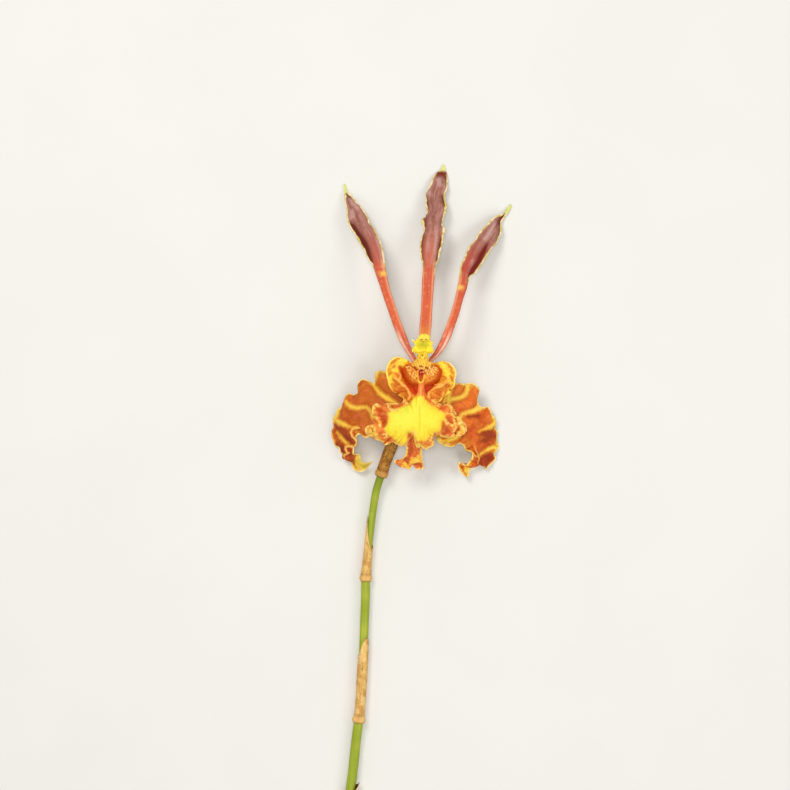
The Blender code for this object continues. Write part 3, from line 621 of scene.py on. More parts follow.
leftPetal = {
    "node": "left_petal", "ridge": 0.28, "seed": 32,
    "stations": [(-2.3, 60.9, 17.2, -0.5, 62, 17.2, 0), (-4.2, 63.3, 17.4, -2, 64.1, 17.4, 0.2),
        (-6.2, 66.3, 17.8, -3.5, 67.2, 17.8, 0.5), (-8.8, 70.7, 18.3, -5.6, 71.5, 18.3, 0.7),
        (-11.9, 77.2, 18.9, -7.9, 77.8, 18.9, 0.9), (-15, 86.2, 19, -11, 86.8, 19, 0.9),
        (-18.2, 95.2, 18.2, -14, 95.8, 18.2, 0.9), (-20.7, 103, 16.3, -15.7, 103.4, 16.3, 0.9),
        (-23.6, 109, 13.9, -16.9, 109.2, 14.9, 1.1), (-27.2, 115.2, 11.2, -18.3, 115.6, 12.4, 1.3),
        (-30.5, 120.4, 8.9, -20.3, 121.2, 9.9, 1.4), (-33, 125.6, 6.6, -23.1, 126.2, 7.4, 1.3),
        (-33.7, 130.4, 4.6, -26.2, 131.2, 5.2, 1.1), (-34.1, 134.8, 2.9, -29.7, 135.2, 3.3, 0.8),
        (-34.5, 138.4, 1.5, -32.9, 138.6, 1.7, 0.4), (-35.1, 143.8, 0.4, -34.5, 143.9, 0.4, 0.1)],
    "left": [(-9.3, 70.8), (-10.3, 74.1), (-12.5, 79.6), (-14.4, 85), (-16.2, 90.4), (-18, 95.9),
        (-19.6, 100.3), (-20.7, 103.6), (-22.3, 107.2), (-23.4, 108), (-24.4, 110.3), (-25.4, 112.8),
        (-27, 115.6), (-28.4, 118.1), (-30.1, 120.9), (-31.2, 122.6), (-32.3, 124.3), (-33.1, 126.5),
        (-33.5, 129.4), (-33.6, 132.2), (-34.3, 134.5), (-34.6, 136.8), (-34.4, 139), (-34.6, 140.7),
        (-34.9, 142.4), (-34.9, 143.6)],
    "right": [(-5.2, 70.8), (-6.5, 74.1), (-8.8, 79.6), (-10.8, 85), (-12.5, 90.4), (-14.2, 95.9),
        (-15.1, 100.3), (-15.8, 103.6), (-16.2, 106.9), (-16.6, 110.3), (-17.2, 113.6), (-18.1, 117),
        (-19.7, 120.4), (-21, 123.2), (-23, 125.4), (-23.6, 127.7), (-25.2, 130.5), (-27.1, 133.3),
        (-29.1, 135.3), (-30.7, 137.9), (-32.4, 139.6), (-33.4, 140.4), (-33.7, 141.8), (-34, 143.2),
        (-34.4, 143.8)],
    "dark": [[(-31.9, 125.6, 0.3), (-30.7, 124.4, 0.9), (-29.2, 121.9, 1.1), (-27.5, 119.1, 1.3),
        (-25.6, 116.4, 1.3), (-24.3, 113.6, 1.1), (-23.2, 110.5, 0.8), (-22.3, 107.7, 0.7),
        (-21.3, 104.6, 0.4)], [(-33.3, 140.4, 0.1), (-32.4, 138.4, 0.2)]],
    "pale": [[(-34.6, 136.4, 0.3), (-34.4, 133.6, 0.2)], [(-22.4, 125.2, 0.3), (-21.6, 124, 0.3)]],
    "sheen": [[(-31.1, 131.3, 0.7), (-30.8, 128.9, 0.8)], [(-32.4, 136.9, 0.3), (-30.8, 134.5, 0.4),
        (-28.8, 132.5, 0.3)], [(-19.8, 119.3, 0.3), (-18.8, 115.4, 0.6), (-17.9, 112.3, 0.7),
        (-17.3, 109.1, 0.7), (-16.7, 106, 0.6)]],
    "blade": (104, 110), "tip": 139.4, "band": 102.2, "flank": -1, "groove": 0.12, "heavy": 1.9,
    "wave": 0.35,
    **palette(deep=(96, 28, 8), low=(184, 92, 72)),
}
rightPetal = {
    "node": "right_petal", "ridge": -0.28, "seed": 33,
    "stations": [(1.3, 62, 17.2, 3.1, 60.8, 17.2, 0), (2.9, 63.8, 17.4, 5, 62.9, 17.4, 0.2),
        (5.4, 66.5, 17.8, 8, 65.7, 17.8, 0.5), (8.3, 71.6, 18.3, 11.6, 70.7, 18.3, 0.7),
        (10.7, 77.9, 18.9, 14.5, 77, 18.9, 0.9), (13.8, 86.8, 18.9, 17.5, 85.9, 18.9, 0.9),
        (15.7, 95.1, 17.9, 20.2, 94.5, 17.9, 0.9), (17, 102.4, 15.8, 23, 101.8, 15, 1),
        (19.2, 109.3, 13, 27.6, 107.3, 11.6, 1.2), (22, 114.9, 10.3, 31, 112.3, 8.8, 1.4),
        (25.7, 119.9, 7.8, 34.2, 116.4, 6.4, 1.4), (29.7, 124.6, 5.5, 35.9, 121, 4.4, 1.2),
        (33.5, 127.7, 3.7, 35.9, 125.1, 2.8, 0.8), (36.4, 130, 2, 37.5, 128.6, 1.6, 0.3),
        (40.6, 134.6, 0.4, 41.1, 134.2, 0.4, 0.1)],
    "left": [(7.6, 70.4), (9.5, 74.1), (11.7, 79.6), (13.6, 85), (15.2, 90.4), (16.3, 95.4), (17, 98.7),
        (17.4, 102.6), (17.8, 105.9), (19.2, 109.3), (20.6, 112.7), (22, 115.5), (24, 117.2), (25.4, 120),
        (27.1, 122.3), (29.3, 124.5), (31.5, 127.1), (34.3, 129.4), (36.5, 130.2), (38, 131), (39.1, 132.2),
        (40.2, 133.9), (41, 134.8)],
    "right": [(11.4, 70.4), (13.3, 74.1), (15.2, 79.6), (17.1, 85), (18.5, 90.4), (20.1, 94.8), (20.7, 97),
        (21.8, 100.3), (22.9, 101.9), (23.9, 102.3), (25.1, 103.4), (27.3, 106.8), (29.3, 109.8),
        (31, 112.7), (32.1, 114.4), (34.1, 116.3), (35.5, 118.9), (36.7, 121.7), (36.7, 124.5),
        (36.6, 126.2), (37.6, 127.9), (38.7, 129.6), (39.9, 131.3), (41, 133), (41.5, 134.3)],
    "dark": [[(29.9, 116.1, 0.3), (28.8, 113.9, 0.8), (27.2, 111, 1.1), (26.1, 108.4, 1.1),
        (24.6, 106.1, 1.1), (23.1, 104.3, 1), (22, 101.7, 0.8), (21.3, 99.1, 0.6), (21, 96.5, 0.4)],
        [(38.2, 130.8, 0.2), (36.9, 129.2, 0.6), (35.8, 126.9, 0.6), (35.4, 125.4, 0.3)],
        [(36.1, 126.1, 0.1), (36, 122.7, 0.2), (35.8, 120.5, 0.2), (34.9, 118.3, 0.2)]],
    "pale": [[(31.3, 113.5, 0.2), (32.6, 115, 0.4), (34.5, 116.5, 0.3)]],
    "sheen": [[(33.5, 126.4, 0.4), (32.3, 123.5, 0.8), (30.9, 120.9, 0.8), (29, 118.6, 0.6)],
        [(23.2, 108.3, 0.3), (22.3, 105.3, 0.4), (21.4, 103.5, 0.3)], [(20.4, 102.3, 0.2),
        (20.3, 99, 0.25)]],
    "blade": (97.5, 104), "tip": 130.6, "band": 95.8, "flank": 1, "groove": 0.12, "heavy": 1.9, "wave": 0.35,
    **palette(deep=(110, 22, 10), low=(190, 74, 54)),
}
maroon = palette(
    foot=(228, 116, 84), footPale=(255, 212, 184), footDeep=(178, 60, 46), purple=(176, 84, 84),
    tipRed=(120, 38, 8), stalk=(212, 93, 52), upper=(198, 82, 50), start=(236, 160, 66),
    mauve=(178, 124, 110), brown=(148, 90, 74), sheen=(206, 166, 158), streak=(104, 40, 24),
    rim=(242, 224, 168), rimGreen=(208, 188, 92), tip=(226, 224, 122), band=(246, 194, 84),
    pale=(248, 180, 134), back=(150, 96, 50), beneath=(96, 34, 20),
)


def maroonLook(name, shape):
    g = Graph(name)
    along, side, edge, front = g.read("along", "side", "edge", "front")
    dark, pale, sheen = g.read("dark", "pale", "sheen")
    start, full = shape["blade"]
    middle = not shape["flank"]
    wander = (g.noise(3) - 0.5) * 3.0
    streaks = g.fibres(side * 4.5, along * 0.06, 4, 0.62)
    fine = g.fibres(side * 12, along * 0.1, 2)
    mottle = g.noise(1.5, 3)
    isBlade = (along + wander).ease(start, full)
    # the foot is pinkish with red lines and painted pinkish-white highlights, the stalk orange red with a
    # painted highlight line at its side
    foot = g.mix(fine.ease(0.5, 0.64) * 0.7, maroon["foot"], maroon["footDeep"])
    foot = g.mix(mottle.ease(0.5, 0.62) * 0.5, foot, maroon["pale"])
    if middle:
        foot = g.mix(0.8, foot, maroon["start"])
        # painted highlights along both edges of the dorsal sepal's foot
        foot = g.mix(abs(side).ease(0.55, 0.85) * 0.5, foot, maroon["footPale"])
    else:
        outer = side * shape["flank"]
        foot = g.coat(foot, [
            (outer.near(-0.1, 0.4) * streaks.ease(0.34, 0.56) * 0.7, maroon["purple"]),
            (outer.ease(-0.5, -0.9) * 0.6, maroon["footDeep"]),
            # painted highlight in a band near the foot's outer edge
            (outer.stir(streaks, 1.6).near(0.36, 0.55) * 0.8, maroon["footPale"]),
        ])
    stalk = g.coat(maroon["stalk"], [
        ((along + wander).ease(start - 16, start) * 0.8, maroon["upper"]),
        (streaks.ease(0.52, 0.78) * 0.5, maroon["footDeep"]),
        (mottle.ease(0.5, 0.72) * 0.3, maroon["pale"]),
    ])
    # painted highlight down the stalk's sides
    lit = side.near(0.66, 0.26) if middle else (side * shape["flank"]).near(-0.6, 0.34)
    lit = lit + side.near(-0.72, 0.22) * (0.8 if middle else 0.3)
    stalk = g.mix(lit * (0.45 + fine * 0.3), stalk, maroon["pale"])
    if middle:
        line = abs(side.stir(mottle, 0.12)).ease(0.14, 0.02) * g.noise(0.6, 1).ease(0.35, 0.55)
        stalk = g.mix(line * along.ease(76, 80) * along.ease(101, 95) * 0.7, stalk, maroon["streak"])
    stalk = g.mix((along + wander * 0.7).ease(82 if middle else 80, 72), stalk, foot)
    long = g.fibres(side * 2.2, along * 0.05, 2)
    mottle = mottle * 0.3 + long * 0.7
    body = g.coat(maroon["mauve"], [
        (mottle.ease(0.36, 0.62), maroon["brown"]),
        ((along + wander).ease(full + 16, full - 2), shape["low"]),
        (streaks.ease(0.5, 0.72) * 0.35, maroon["streak"]),
        (fine.ease(0.54, 0.78) * 0.25, shape["deep"]),
        (streaks.ease(0.46, 0.3) * 0.3, maroon["sheen"]),
    ])
    lustre = sheen.stir(mottle, 1.6).stir(fine, 2.4).ease(1.1, -0.9)
    shade = dark.stir(mottle, 0.8).ease(0.8, -0.5)
    body = g.mix(lustre * 0.6, body, maroon["sheen"])
    body = g.mix(dark.stir(streaks, 1.5).ease(2, 0.2) * 0.35, body, shape["deep"])
    colour = g.coat(stalk, [
        (isBlade, body),
        (lustre * (1 - isBlade) * 0.5, maroon["pale"]),
        (shade * 0.97, shape["deep"]),
    ])
    if middle:
        nearTip = (along + wander * 0.3).near(shape["tip"] - 0.9, 1.3)
        colour = g.mix(nearTip * 0.8, colour, maroon["tipRed"])
    if shape["band"]:
        inner = (side * -shape["flank"]).ease(-0.75, 0.35)
        colour = g.mix((along + wander * 0.35).near(shape["band"], 1.9) * inner * 0.9, colour, maroon["band"])
    rimColour = g.mix(g.noise(2.4, 2).ease(0.43, 0.58), maroon["rim"], maroon["rimGreen"])
    width = edge.stir(g.noise(2.6, 2), 1.1)
    rim = width.ease(0.95, 0.5) * (along + wander * 0.5).ease(start - 1, start + 3)
    rim = rim * (along + wander).ease(shape["tip"] - 0.5, shape["tip"] - 4) if middle else rim
    ending = along.stir(mottle, 2) + abs(side) * 0.8
    colour = g.coat(colour, [
        (rim * 0.97, rimColour),
        (pale.stir(mottle, 0.4).ease(0.2, -0.1), rimColour),
        (ending.ease(shape["tip"], shape["tip"] + 1.4), maroon["tip"]),
    ])
    behind = g.mix(streaks.ease(0.4, 0.7), maroon["back"], maroon["beneath"])
    behind = g.mix(isBlade, g.mix(0.5, stalk, maroon["back"]), behind)
    behind = g.mix(rim, behind, rimColour)
    colour = g.mix(1 - front, colour, behind)
    relief = streaks * 0.8 + fine * 0.6 + g.noise(0.35, 2) * 0.35
    return g.finish(colour, 0.42 + mottle * 0.16 + shade * 0.3, relief, 0.2, Specular_IOR_Level=0.24)


def makeAntenna(name, shape):
    sheet = blade(shape["stations"], 230, 52, shape["ridge"])
    trim(sheet, shape["left"], shape["right"], 0.8, 0.8)
    centreY = sheet.grid[:, sheet.grid.shape[1] // 2, 1][:, None]
    start, full = shape["blade"]
    isBlade = step(centreY, start - 4, full) * (1 - step(centreY, shape["tip"] - 2, shape["tip"] + 2))
    seed, wave = shape["seed"], shape["wave"]
    # thin margins wave up and down and roll back
    leftWave, rightWave = wobble(sheet.leftArc, 7.5, seed), wobble(sheet.rightArc, 7.5, seed + 5)
    rimLeft, rimRight = (bell(far, 1.3) for far in (sheet.fromLeft, sheet.fromRight))
    lift = isBlade * (rimLeft * (wave * leftWave + 0.3) + rimRight * (wave * rightWave + 0.3))
    lift += isBlade * 0.12 * wobble(sheet.arc + 3 * sheet.side, 9, seed + 9)
    lift -= 0.9 * isBlade * bell(strokes(sheet.grid, shape["dark"]).clip(0), 0.8)
    # a groove down the stalk, fading along the blade
    stalk = 1 - step(centreY, start - 2, full + 6)
    lift -= (0.25 + 0.75 * stalk) * shape["groove"] * bell(sheet.side, 0.22) * step(centreY, 67, 76)
    sheet.push(lift)
    sheet.grid[..., 2] = np.maximum(sheet.grid[..., 2], 0.3 + 0.2 * np.tanh(sheet.grid[..., 2]))
    trim(sheet, shape["left"], shape["right"], 0.4, 0.4)
    heavy = 0.62 + (shape["heavy"] - 0.62) * step(centreY, 66, 76) * (1 - step(centreY, start - 3, full + 4))
    heavy = heavy - 0.1 * step(centreY, full, full + 10)
    rounded = np.sqrt(np.clip(1 - np.abs(sheet.side) ** 2.6, 0, 1))
    bead = 0.2 * isBlade * bell(sheet.edge - 0.3, 0.28)
    sheet.values = {"along": centreY, "side": sheet.side, "edge": sheet.edge}
    sheet.mark(shape, "dark", "pale", "sheen")
    thickness = heavy * rounded + 0.14 + bead
    dress(sheet.build(name, thickness, maroonLook(name + "Skin", shape)), "maroon_tepal", shape["node"])


makeAntenna("dorsalSepal", dorsalSepal)
makeAntenna("leftPetal", leftPetal)
makeAntenna("rightPetal", rightPetal)


# the two broad lower sepals: stations from the outer edge to the inner one, with the crown between them
leftLateralSepal = {
    "node": "left_lateral_sepal", "seed": 41,
    "stations": [(-0.2, 62.5, 16.05, -0.2, 59.6, 16.05, 0), (-8, 62, 15.6, -3, 54, 15.8, 0.3),
        (-13.8, 60.7, 14, -5.6, 46, 15, 0.6), (-17.6, 58.4, 12.2, -8.8, 38.8, 14.4, 1),
        (-21, 53.8, 10.4, -13.8, 33.4, 14, 1.3), (-26.6, 55.6, 8.2, -20.6, 30, 13.4, 1.5),
        (-29.8, 50.4, 6.6, -25.4, 29.8, 12.6, 1.5), (-34.6, 47.8, 5, -28.6, 32.2, 12, 1.5),
        (-37.8, 41.8, 3.4, -30.8, 32.4, 11.2, 1.5), (-39.9, 36, 1.9, -31.2, 29.8, 10.2, 1.5),
        (-40.4, 30.6, 1.1, -29.2, 27, 9.2, 1.3), (-38.6, 25.2, 1.1, -29.6, 24.2, 8.2, 1),
        (-36, 21.2, 1.6, -30, 21.4, 7.4, 0.8), (-33.3, 18, 2.2, -29.2, 19.6, 6.8, 0.5),
        (-30.6, 14.8, 2.8, -27.4, 18.4, 6.2, 0.4), (-27.4, 13.6, 3.4, -25.2, 17.8, 5.8, 0.3),
        (-24, 15.4, 4.2, -23.4, 17.8, 5.6, 0.2), (-21.9, 17.8, 5, -21.9, 18.3, 5.2, 0)],
    "outer": [(-14.6, 60.4), (-16.4, 58.6), (-18.1, 59.2), (-20, 58.5), (-20.9, 56.9), (-20.6, 54.9),
        (-21.5, 53.2), (-23.4, 54.3), (-26, 55.5), (-27.9, 54.3), (-28.5, 52.9), (-27.4, 51), (-28.2, 49.3),
        (-30.2, 48.1), (-32.2, 48.8), (-33.9, 47.9), (-34.7, 45.9), (-35.6, 43.6), (-36.7, 42.2),
        (-38.1, 41.4), (-38.4, 39.7), (-39.8, 38), (-40.1, 35.7), (-39.5, 34.3), (-40.3, 32.4),
        (-40.6, 29.5), (-39.8, 27.3), (-38.9, 24.7), (-37.2, 23.9), (-36.7, 21.6), (-34.4, 20.5),
        (-33.6, 18.3), (-31.6, 17.1), (-30.8, 14.3), (-28.8, 13.2), (-26.5, 13.2), (-24.3, 14.6),
        (-23.1, 16.2), (-22, 17.7)],
    "inner": [(-22.1, 28.8), (-23.6, 28.8), (-25.4, 28.7), (-27, 30.2), (-28.2, 30), (-29.2, 29),
        (-28.8, 26.7), (-29.3, 25), (-30.3, 24.2), (-30.3, 22.9), (-30.3, 21.7), (-29.8, 20.7),
        (-29.3, 21.1), (-27.5, 20.8), (-27.1, 18.5), (-25.8, 17.4), (-23.7, 17.4), (-21.7, 17.8)],
    "bars": [[(-20, 56.3, 0.5), (-20.9, 53.9, 0.6), (-21.3, 52.4, 0.9), (-19.6, 50.2, 1), (-17.5, 48, 1.05),
        (-15.1, 46.5, 1), (-13.1, 45.3, 0.9), (-10.7, 43.8, 0.9)], [(-34.5, 45.9, 0.5), (-33.1, 43.8, 0.7),
        (-31.1, 42.5, 0.8), (-28.7, 41.8, 0.85), (-26.3, 42.4, 0.7), (-24.6, 42.5, 0.6), (-23.2, 41.2, 0.55),
        (-21.6, 38.2, 0.7), (-20.1, 35.6, 0.6), (-18.7, 34.4, 0.4)], [(-37.4, 41.2, 0.7), (-37.7, 39.4, 1),
        (-38.9, 37, 0.9), (-36.4, 35.6, 1), (-34.6, 34.6, 0.8), (-32.9, 33.8, 0.6), (-31.1, 33.4, 0.45),
        (-29, 33.4, 0.4)], [(-37.6, 31, 0.3), (-36.5, 29.5, 0.6), (-35, 27.6, 0.7), (-33.5, 26.2, 0.6),
        (-32.6, 25.4, 0.3)], [(-29.1, 20.4, 0.6), (-28.8, 18.4, 1), (-28.2, 16.9, 1.4), (-26.7, 16, 1.2),
        (-24.3, 16.6, 0.6), (-22.3, 17.5, 0.3)], [(-30.7, 14.8, 0.5), (-30, 13.9, 0.5)]],
    "folds": [[(-27.8, 33.2, 0.2), (-29.6, 33.1, 0.22), (-31, 32.5, 0.22), (-31.6, 31, 0.22),
        (-30.9, 29.3, 0.22), (-29.4, 27.9, 0.22), (-28.6, 26.6, 0.2), (-29.3, 25.1, 0.2)],
        [(-30.5, 24.5, 0.2), (-32.3, 24.9, 0.2), (-33.8, 24.6, 0.25), (-34.1, 23.5, 0.25),
        (-33.5, 22.3, 0.2), (-33, 21.5, 0.1)], [(-32.5, 21.9, 0.15), (-33.5, 21.5, 0.2), (-34.7, 20.5, 0.25),
        (-34.5, 19.4, 0.15)], [(-40.4, 31.4, 0.25), (-40.7, 29.9, 0.25), (-39.9, 28.1, 0.2),
        (-39.3, 26.6, 0.2), (-39.1, 24.5, 0.3)]],
    "dark": [[(-38.3, 26.3, 0.3), (-37.1, 24.6, 0.9), (-35.6, 23.4, 0.9), (-35, 22.2, 0.5)],
        [(-35.2, 30.9, 0.5), (-33.5, 29.4, 0.9), (-32, 27.9, 0.9), (-31.1, 26.4, 0.6)], [(-37.1, 33.2, 0.6),
        (-35.3, 32, 0.7), (-33.8, 31.4, 0.5)], [(-30, 14.4, 0.3), (-27.8, 14.4, 0.6), (-26, 14.6, 0.4)],
        [(-32.3, 22.8, 0.6), (-31.7, 20.5, 0.7)], [(-31.9, 19, 0.4), (-30.2, 16.4, 0.4)]],
    "look": palette(
        main=(176, 82, 6), bright=(206, 110, 22), dark=(140, 46, 14), red=(196, 68, 18), bar=(236, 198, 68),
    ),
    "lime": [[(-17.4, 59.4)], [(-26.9, 18.2)], [(-24.8, 16.6)]], "limeShare": 0.55, "glow": [[(-15, 46)]],
}
rightLateralSepal = {
    "node": "right_lateral_sepal", "seed": 57,
    "stations": [(1, 62.5, 16.05, 1, 59.6, 16.05, 0), (8.6, 62, 15.6, 3.6, 54, 15.8, 0.3),
        (14, 58.2, 14, 4.4, 45.4, 15, 0.6), (18, 53.2, 12.4, 4.8, 37.4, 14.6, 1),
        (22.1, 53.2, 10.6, 6.4, 30.6, 14, 1.3), (25.6, 50, 8.8, 9.9, 26.6, 13.2, 1.5),
        (25.6, 45.2, 7.2, 13.1, 25.2, 12.6, 1.5), (29.6, 42.8, 5.4, 16.2, 25.6, 12, 1.5),
        (32.8, 38.6, 3.8, 18.2, 25.4, 11.2, 1.5), (33.9, 33.8, 2.2, 20.2, 23.6, 10.2, 1.5),
        (35.2, 29.4, 1.2, 22.2, 22.8, 9.2, 1.3), (35.2, 25, 1.1, 22.8, 21.8, 8.2, 1),
        (33.6, 19.8, 1.6, 23, 20.8, 7.6, 0.8), (30.4, 15.4, 2.4, 22.7, 19.4, 7, 0.5),
        (27.4, 16.3, 3, 21.7, 17.6, 6.4, 0.4), (25, 15.4, 3.4, 19.9, 16.2, 6, 0.3),
        (22.8, 14.4, 3.8, 17.8, 17.4, 5.6, 0.2), (21.9, 12.8, 4, 17, 15.4, 5.2, 0.2),
        (21.5, 11.1, 4.2, 19.6, 11.6, 4.6, 0.1), (21.4, 10.5, 4.3, 21.1, 10.5, 4.4, 0)],
    "outer": [(14.2, 57.6), (15.8, 53.6), (18, 53.3), (20.3, 53.2), (23.1, 53.5), (25.1, 52.4), (26.5, 50.4),
        (25.9, 48.1), (25.6, 45.9), (26.5, 43.6), (28.2, 42.4), (30.2, 43), (31.6, 41.4), (32.4, 39.1),
        (33.8, 37.4), (34.4, 35.2), (33.8, 32.9), (34.9, 31.4), (34.7, 27.3), (35.8, 24.9), (34.9, 22.9),
        (33.4, 20.9), (34.4, 19.5), (33.6, 17.9), (31.7, 16.2), (30.5, 15.2), (30.1, 13.9), (29.4, 14.9),
        (28, 16), (26.3, 16.2), (24.8, 15.2), (22.8, 14.6), (22, 13.2), (21.8, 11.8), (21.4, 10.6)],
    "inner": [(6.1, 30.2), (6.7, 28.5), (8.4, 26.2), (10.6, 25.1), (14, 24.5), (16.8, 25.9), (18.8, 25.4),
        (20.2, 23.1), (22.9, 22), (23, 19.8), (21.9, 17.8), (20.4, 16.1), (18.9, 16.5), (18.1, 17.9),
        (17.2, 17.4), (16.8, 16.2), (17.3, 14.2), (19.1, 11.9), (21.1, 10.5)],
    "bars": [[(20.8, 53.1, 0.6), (20.9, 50.8, 0.85), (20.1, 48.6, 0.9), (18.3, 47.2, 0.9), (15.6, 46.3, 0.9),
        (12.7, 45.7, 1)], [(13.4, 51.3, 0.9), (12.7, 49, 0.9), (12.2, 46.5, 1), (12.5, 43.6, 0.6)],
        [(27.2, 42.7, 0.5), (25.8, 41.9, 0.9), (23.6, 41, 0.9), (20.7, 40.3, 0.7), (18.6, 39.2, 0.7),
        (17.3, 37.1, 0.6), (16, 36.4, 0.6)], [(33.8, 36.8, 0.5), (33.1, 35, 0.9), (31.6, 33.7, 0.7),
        (29.5, 33, 0.5), (27.3, 32.1, 0.35), (26, 31.3, 0.2)], [(35.5, 25.2, 0.9), (33.9, 24.4, 0.8),
        (31.3, 23.7, 0.6), (29.2, 22.6, 0.55), (27.2, 21.5, 0.4), (26.3, 20.5, 0.2)], [(7.3, 28.6, 0.5),
        (9.1, 27.1, 0.7), (12.3, 27.5, 0.8), (14.8, 28.4, 0.7), (17, 29.3, 0.5)], [(20.4, 15.5, 0.4),
        (20.1, 13.6, 0.5), (21.2, 14.7, 0.4)], [(10.2, 44.6, 0.3), (10.8, 46.4, 0.6), (11.6, 49.6, 0.5)]],
    "folds": [[(24, 25.2, 0), (24.9, 23.1, 0.04), (25.8, 20.9, 0.06), (26.3, 19.2, 0.08),
        (25.8, 16.8, 0.04)], [(23.1, 22.2, 0.04), (24.5, 20.5, 0.06), (26, 19.6, 0.06)]],
    "dark": [[(26.9, 29.9, 0.6), (28.7, 30.6, 1.3), (30.9, 30.3, 1.6), (32.7, 29.5, 1.2), (29.5, 28.1, 1.2),
        (27.3, 27.4, 0.5)], [(27.6, 21, 0.3), (29.2, 20.1, 1.2), (31.3, 20.1, 1.2), (29.5, 17.6, 1),
        (30.3, 15.8, 0.4)], [(27.6, 19.6, 0.5), (27.4, 17.6, 0.5)], [(24.5, 22.6, 0), (25.4, 20.8, 0)],
        [(21.4, 38.5, 0.5), (25.8, 38.5, 0.3)]],
    "look": palette(
        main=(220, 96, 18), bright=(238, 128, 40), dark=(142, 42, 8), red=(210, 74, 14), bar=(250, 210, 78),
    ),
    "lime": [[(24, 53)]], "limeShare": 0.2, "glow": [[(12.6, 48)], [(13.5, 45)], [(9, 27.5)], [(14.5, 28)]],
}
orange = palette(
    barEdge=(232, 152, 36), red=(206, 66, 14), rim=(255, 228, 150), rimGreen=(244, 216, 96),
    pink=(226, 112, 58), lime=(244, 218, 80), olive=(196, 172, 56), fold=(250, 190, 90), glow=(255, 214, 70),
    back=(196, 150, 58), blush=(176, 92, 40),
)


def orangeLook(name, shape):
    g = Graph(name)
    along, side, edge, front = g.read("along", "side", "edge", "front")
    bar, fold, dark, lift = g.read("bars", "folds", "dark", "lift")
    look = shape["look"]
    veins = g.fibres(side * 14, along * 0.12, 4, 0.62)
    large = g.noise(6, 3, rough=0.6)
    small = g.noise(1.4, 3)
    colour = g.coat(look["main"], [
        (large.ease(0.38, 0.6), look["bright"]),
        (small.ease(0.46, 0.7) * 0.5, look["red"]),
        (veins.ease(0.5, 0.66) * 0.55, look["red"]),
        (veins.ease(0.44, 0.34) * 0.35, orange["barEdge"]),
        (g.noise(0.8, 2).ease(0.5, 0.66) * 0.25, look["dark"]),
    ])
    high = g.axis("Y").ease(40, 50)
    colour = g.coat(colour, [
        (high * large.ease(0.6, 0.4) * 0.5, look["bright"]),
        (g.noise(4.4, 2).ease(0.5, 0.64) * edge.ease(5.5, 2) * 0.6, orange["barEdge"]),
        (g.noise(3.2, 3).ease(0.52, 0.66) * 0.4, orange["pink"]),
        # painted shade in the dips of the ruffled surface, painted light on its rises
        (lift.ease(-0.1, -1) * 0.5, look["dark"]),
        (lift.ease(0.3, 1.4) * 0.45, look["bright"]),
    ])
    tips = along.ease(36, 60)
    colour = g.coat(colour, [
        (tips * 0.4, orange["red"]),
        (tips * small.ease(0.42, 0.66) * 0.5, look["dark"]),
        # darker at the dark strokes beside the folds and in the hollows: the sepal's own red brown deepened
        # by painted shade
        (dark.stir(large, 1.8).stir(veins, 2).ease(2, -0.8) * 0.85, look["dark"]),
    ])
    near = bar.stir(small, 1.2).stir(large, 1.8).stir(g.noise(9, 1), 0.8) + 0.15
    # a darker ring beside each bar: painted shade of the shallow furrow the bar lies in
    colour = g.mix(near.ease(2.2, 0.8) * 0.3, colour, look["dark"])
    colour = g.mix(near.ease(1.5, -0.1) * 0.8, colour, orange["barEdge"])
    yellow = g.mix(large.ease(0.5, 0.64), look["bar"], orange["lime"])
    # painted light: the bars are brightened to a paler gold where the ear and lip above shade them
    yellow = g.mix(g.value("glow").ease(6, 2) * 0.9, yellow, orange["glow"])
    colour = g.mix(near.ease(0.6, -0.9), colour, yellow)
    reach = edge.stir(small, 0.5).stir(large, 0.9)
    yellowish = near.ease(2.6, 0.4) * reach.ease(2.4, 0.9)  # beside a bar the margin is a broad yellow
    colour = g.mix(yellowish * 0.85, colour, orange["rimGreen"])
    colour = g.mix(reach.ease(1.3, 0.5) * 0.7, colour, orange["barEdge"])
    rim = g.mix(large.ease(0.46, 0.58), orange["rim"], orange["rimGreen"])
    colour = g.coat(colour, [
        (edge.stir(small, 0.6).ease(0.9, 0.42) * 0.95, rim),
        (g.value("lime").ease(3.4, 1) * shape["limeShare"], orange["olive"]),
        (fold.stir(small, 0.4).ease(0.3, -0.1) * 0.85, orange["fold"]),
    ])
    behind = g.coat(orange["back"], [
        (veins.ease(0.45, 0.7), orange["blush"]),
        (near.ease(0.6, 0), orange["lime"]),
        (reach.ease(0.9, 0.3), orange["rim"]),
    ])
    colour = g.mix(1 - front, colour, behind)
    relief = veins * 0.7 + small * 0.5 + g.noise(0.4, 2) * 0.3
    return g.finish(colour, 0.52 + small * 0.16, relief, 0.22, Specular_IOR_Level=0.22)


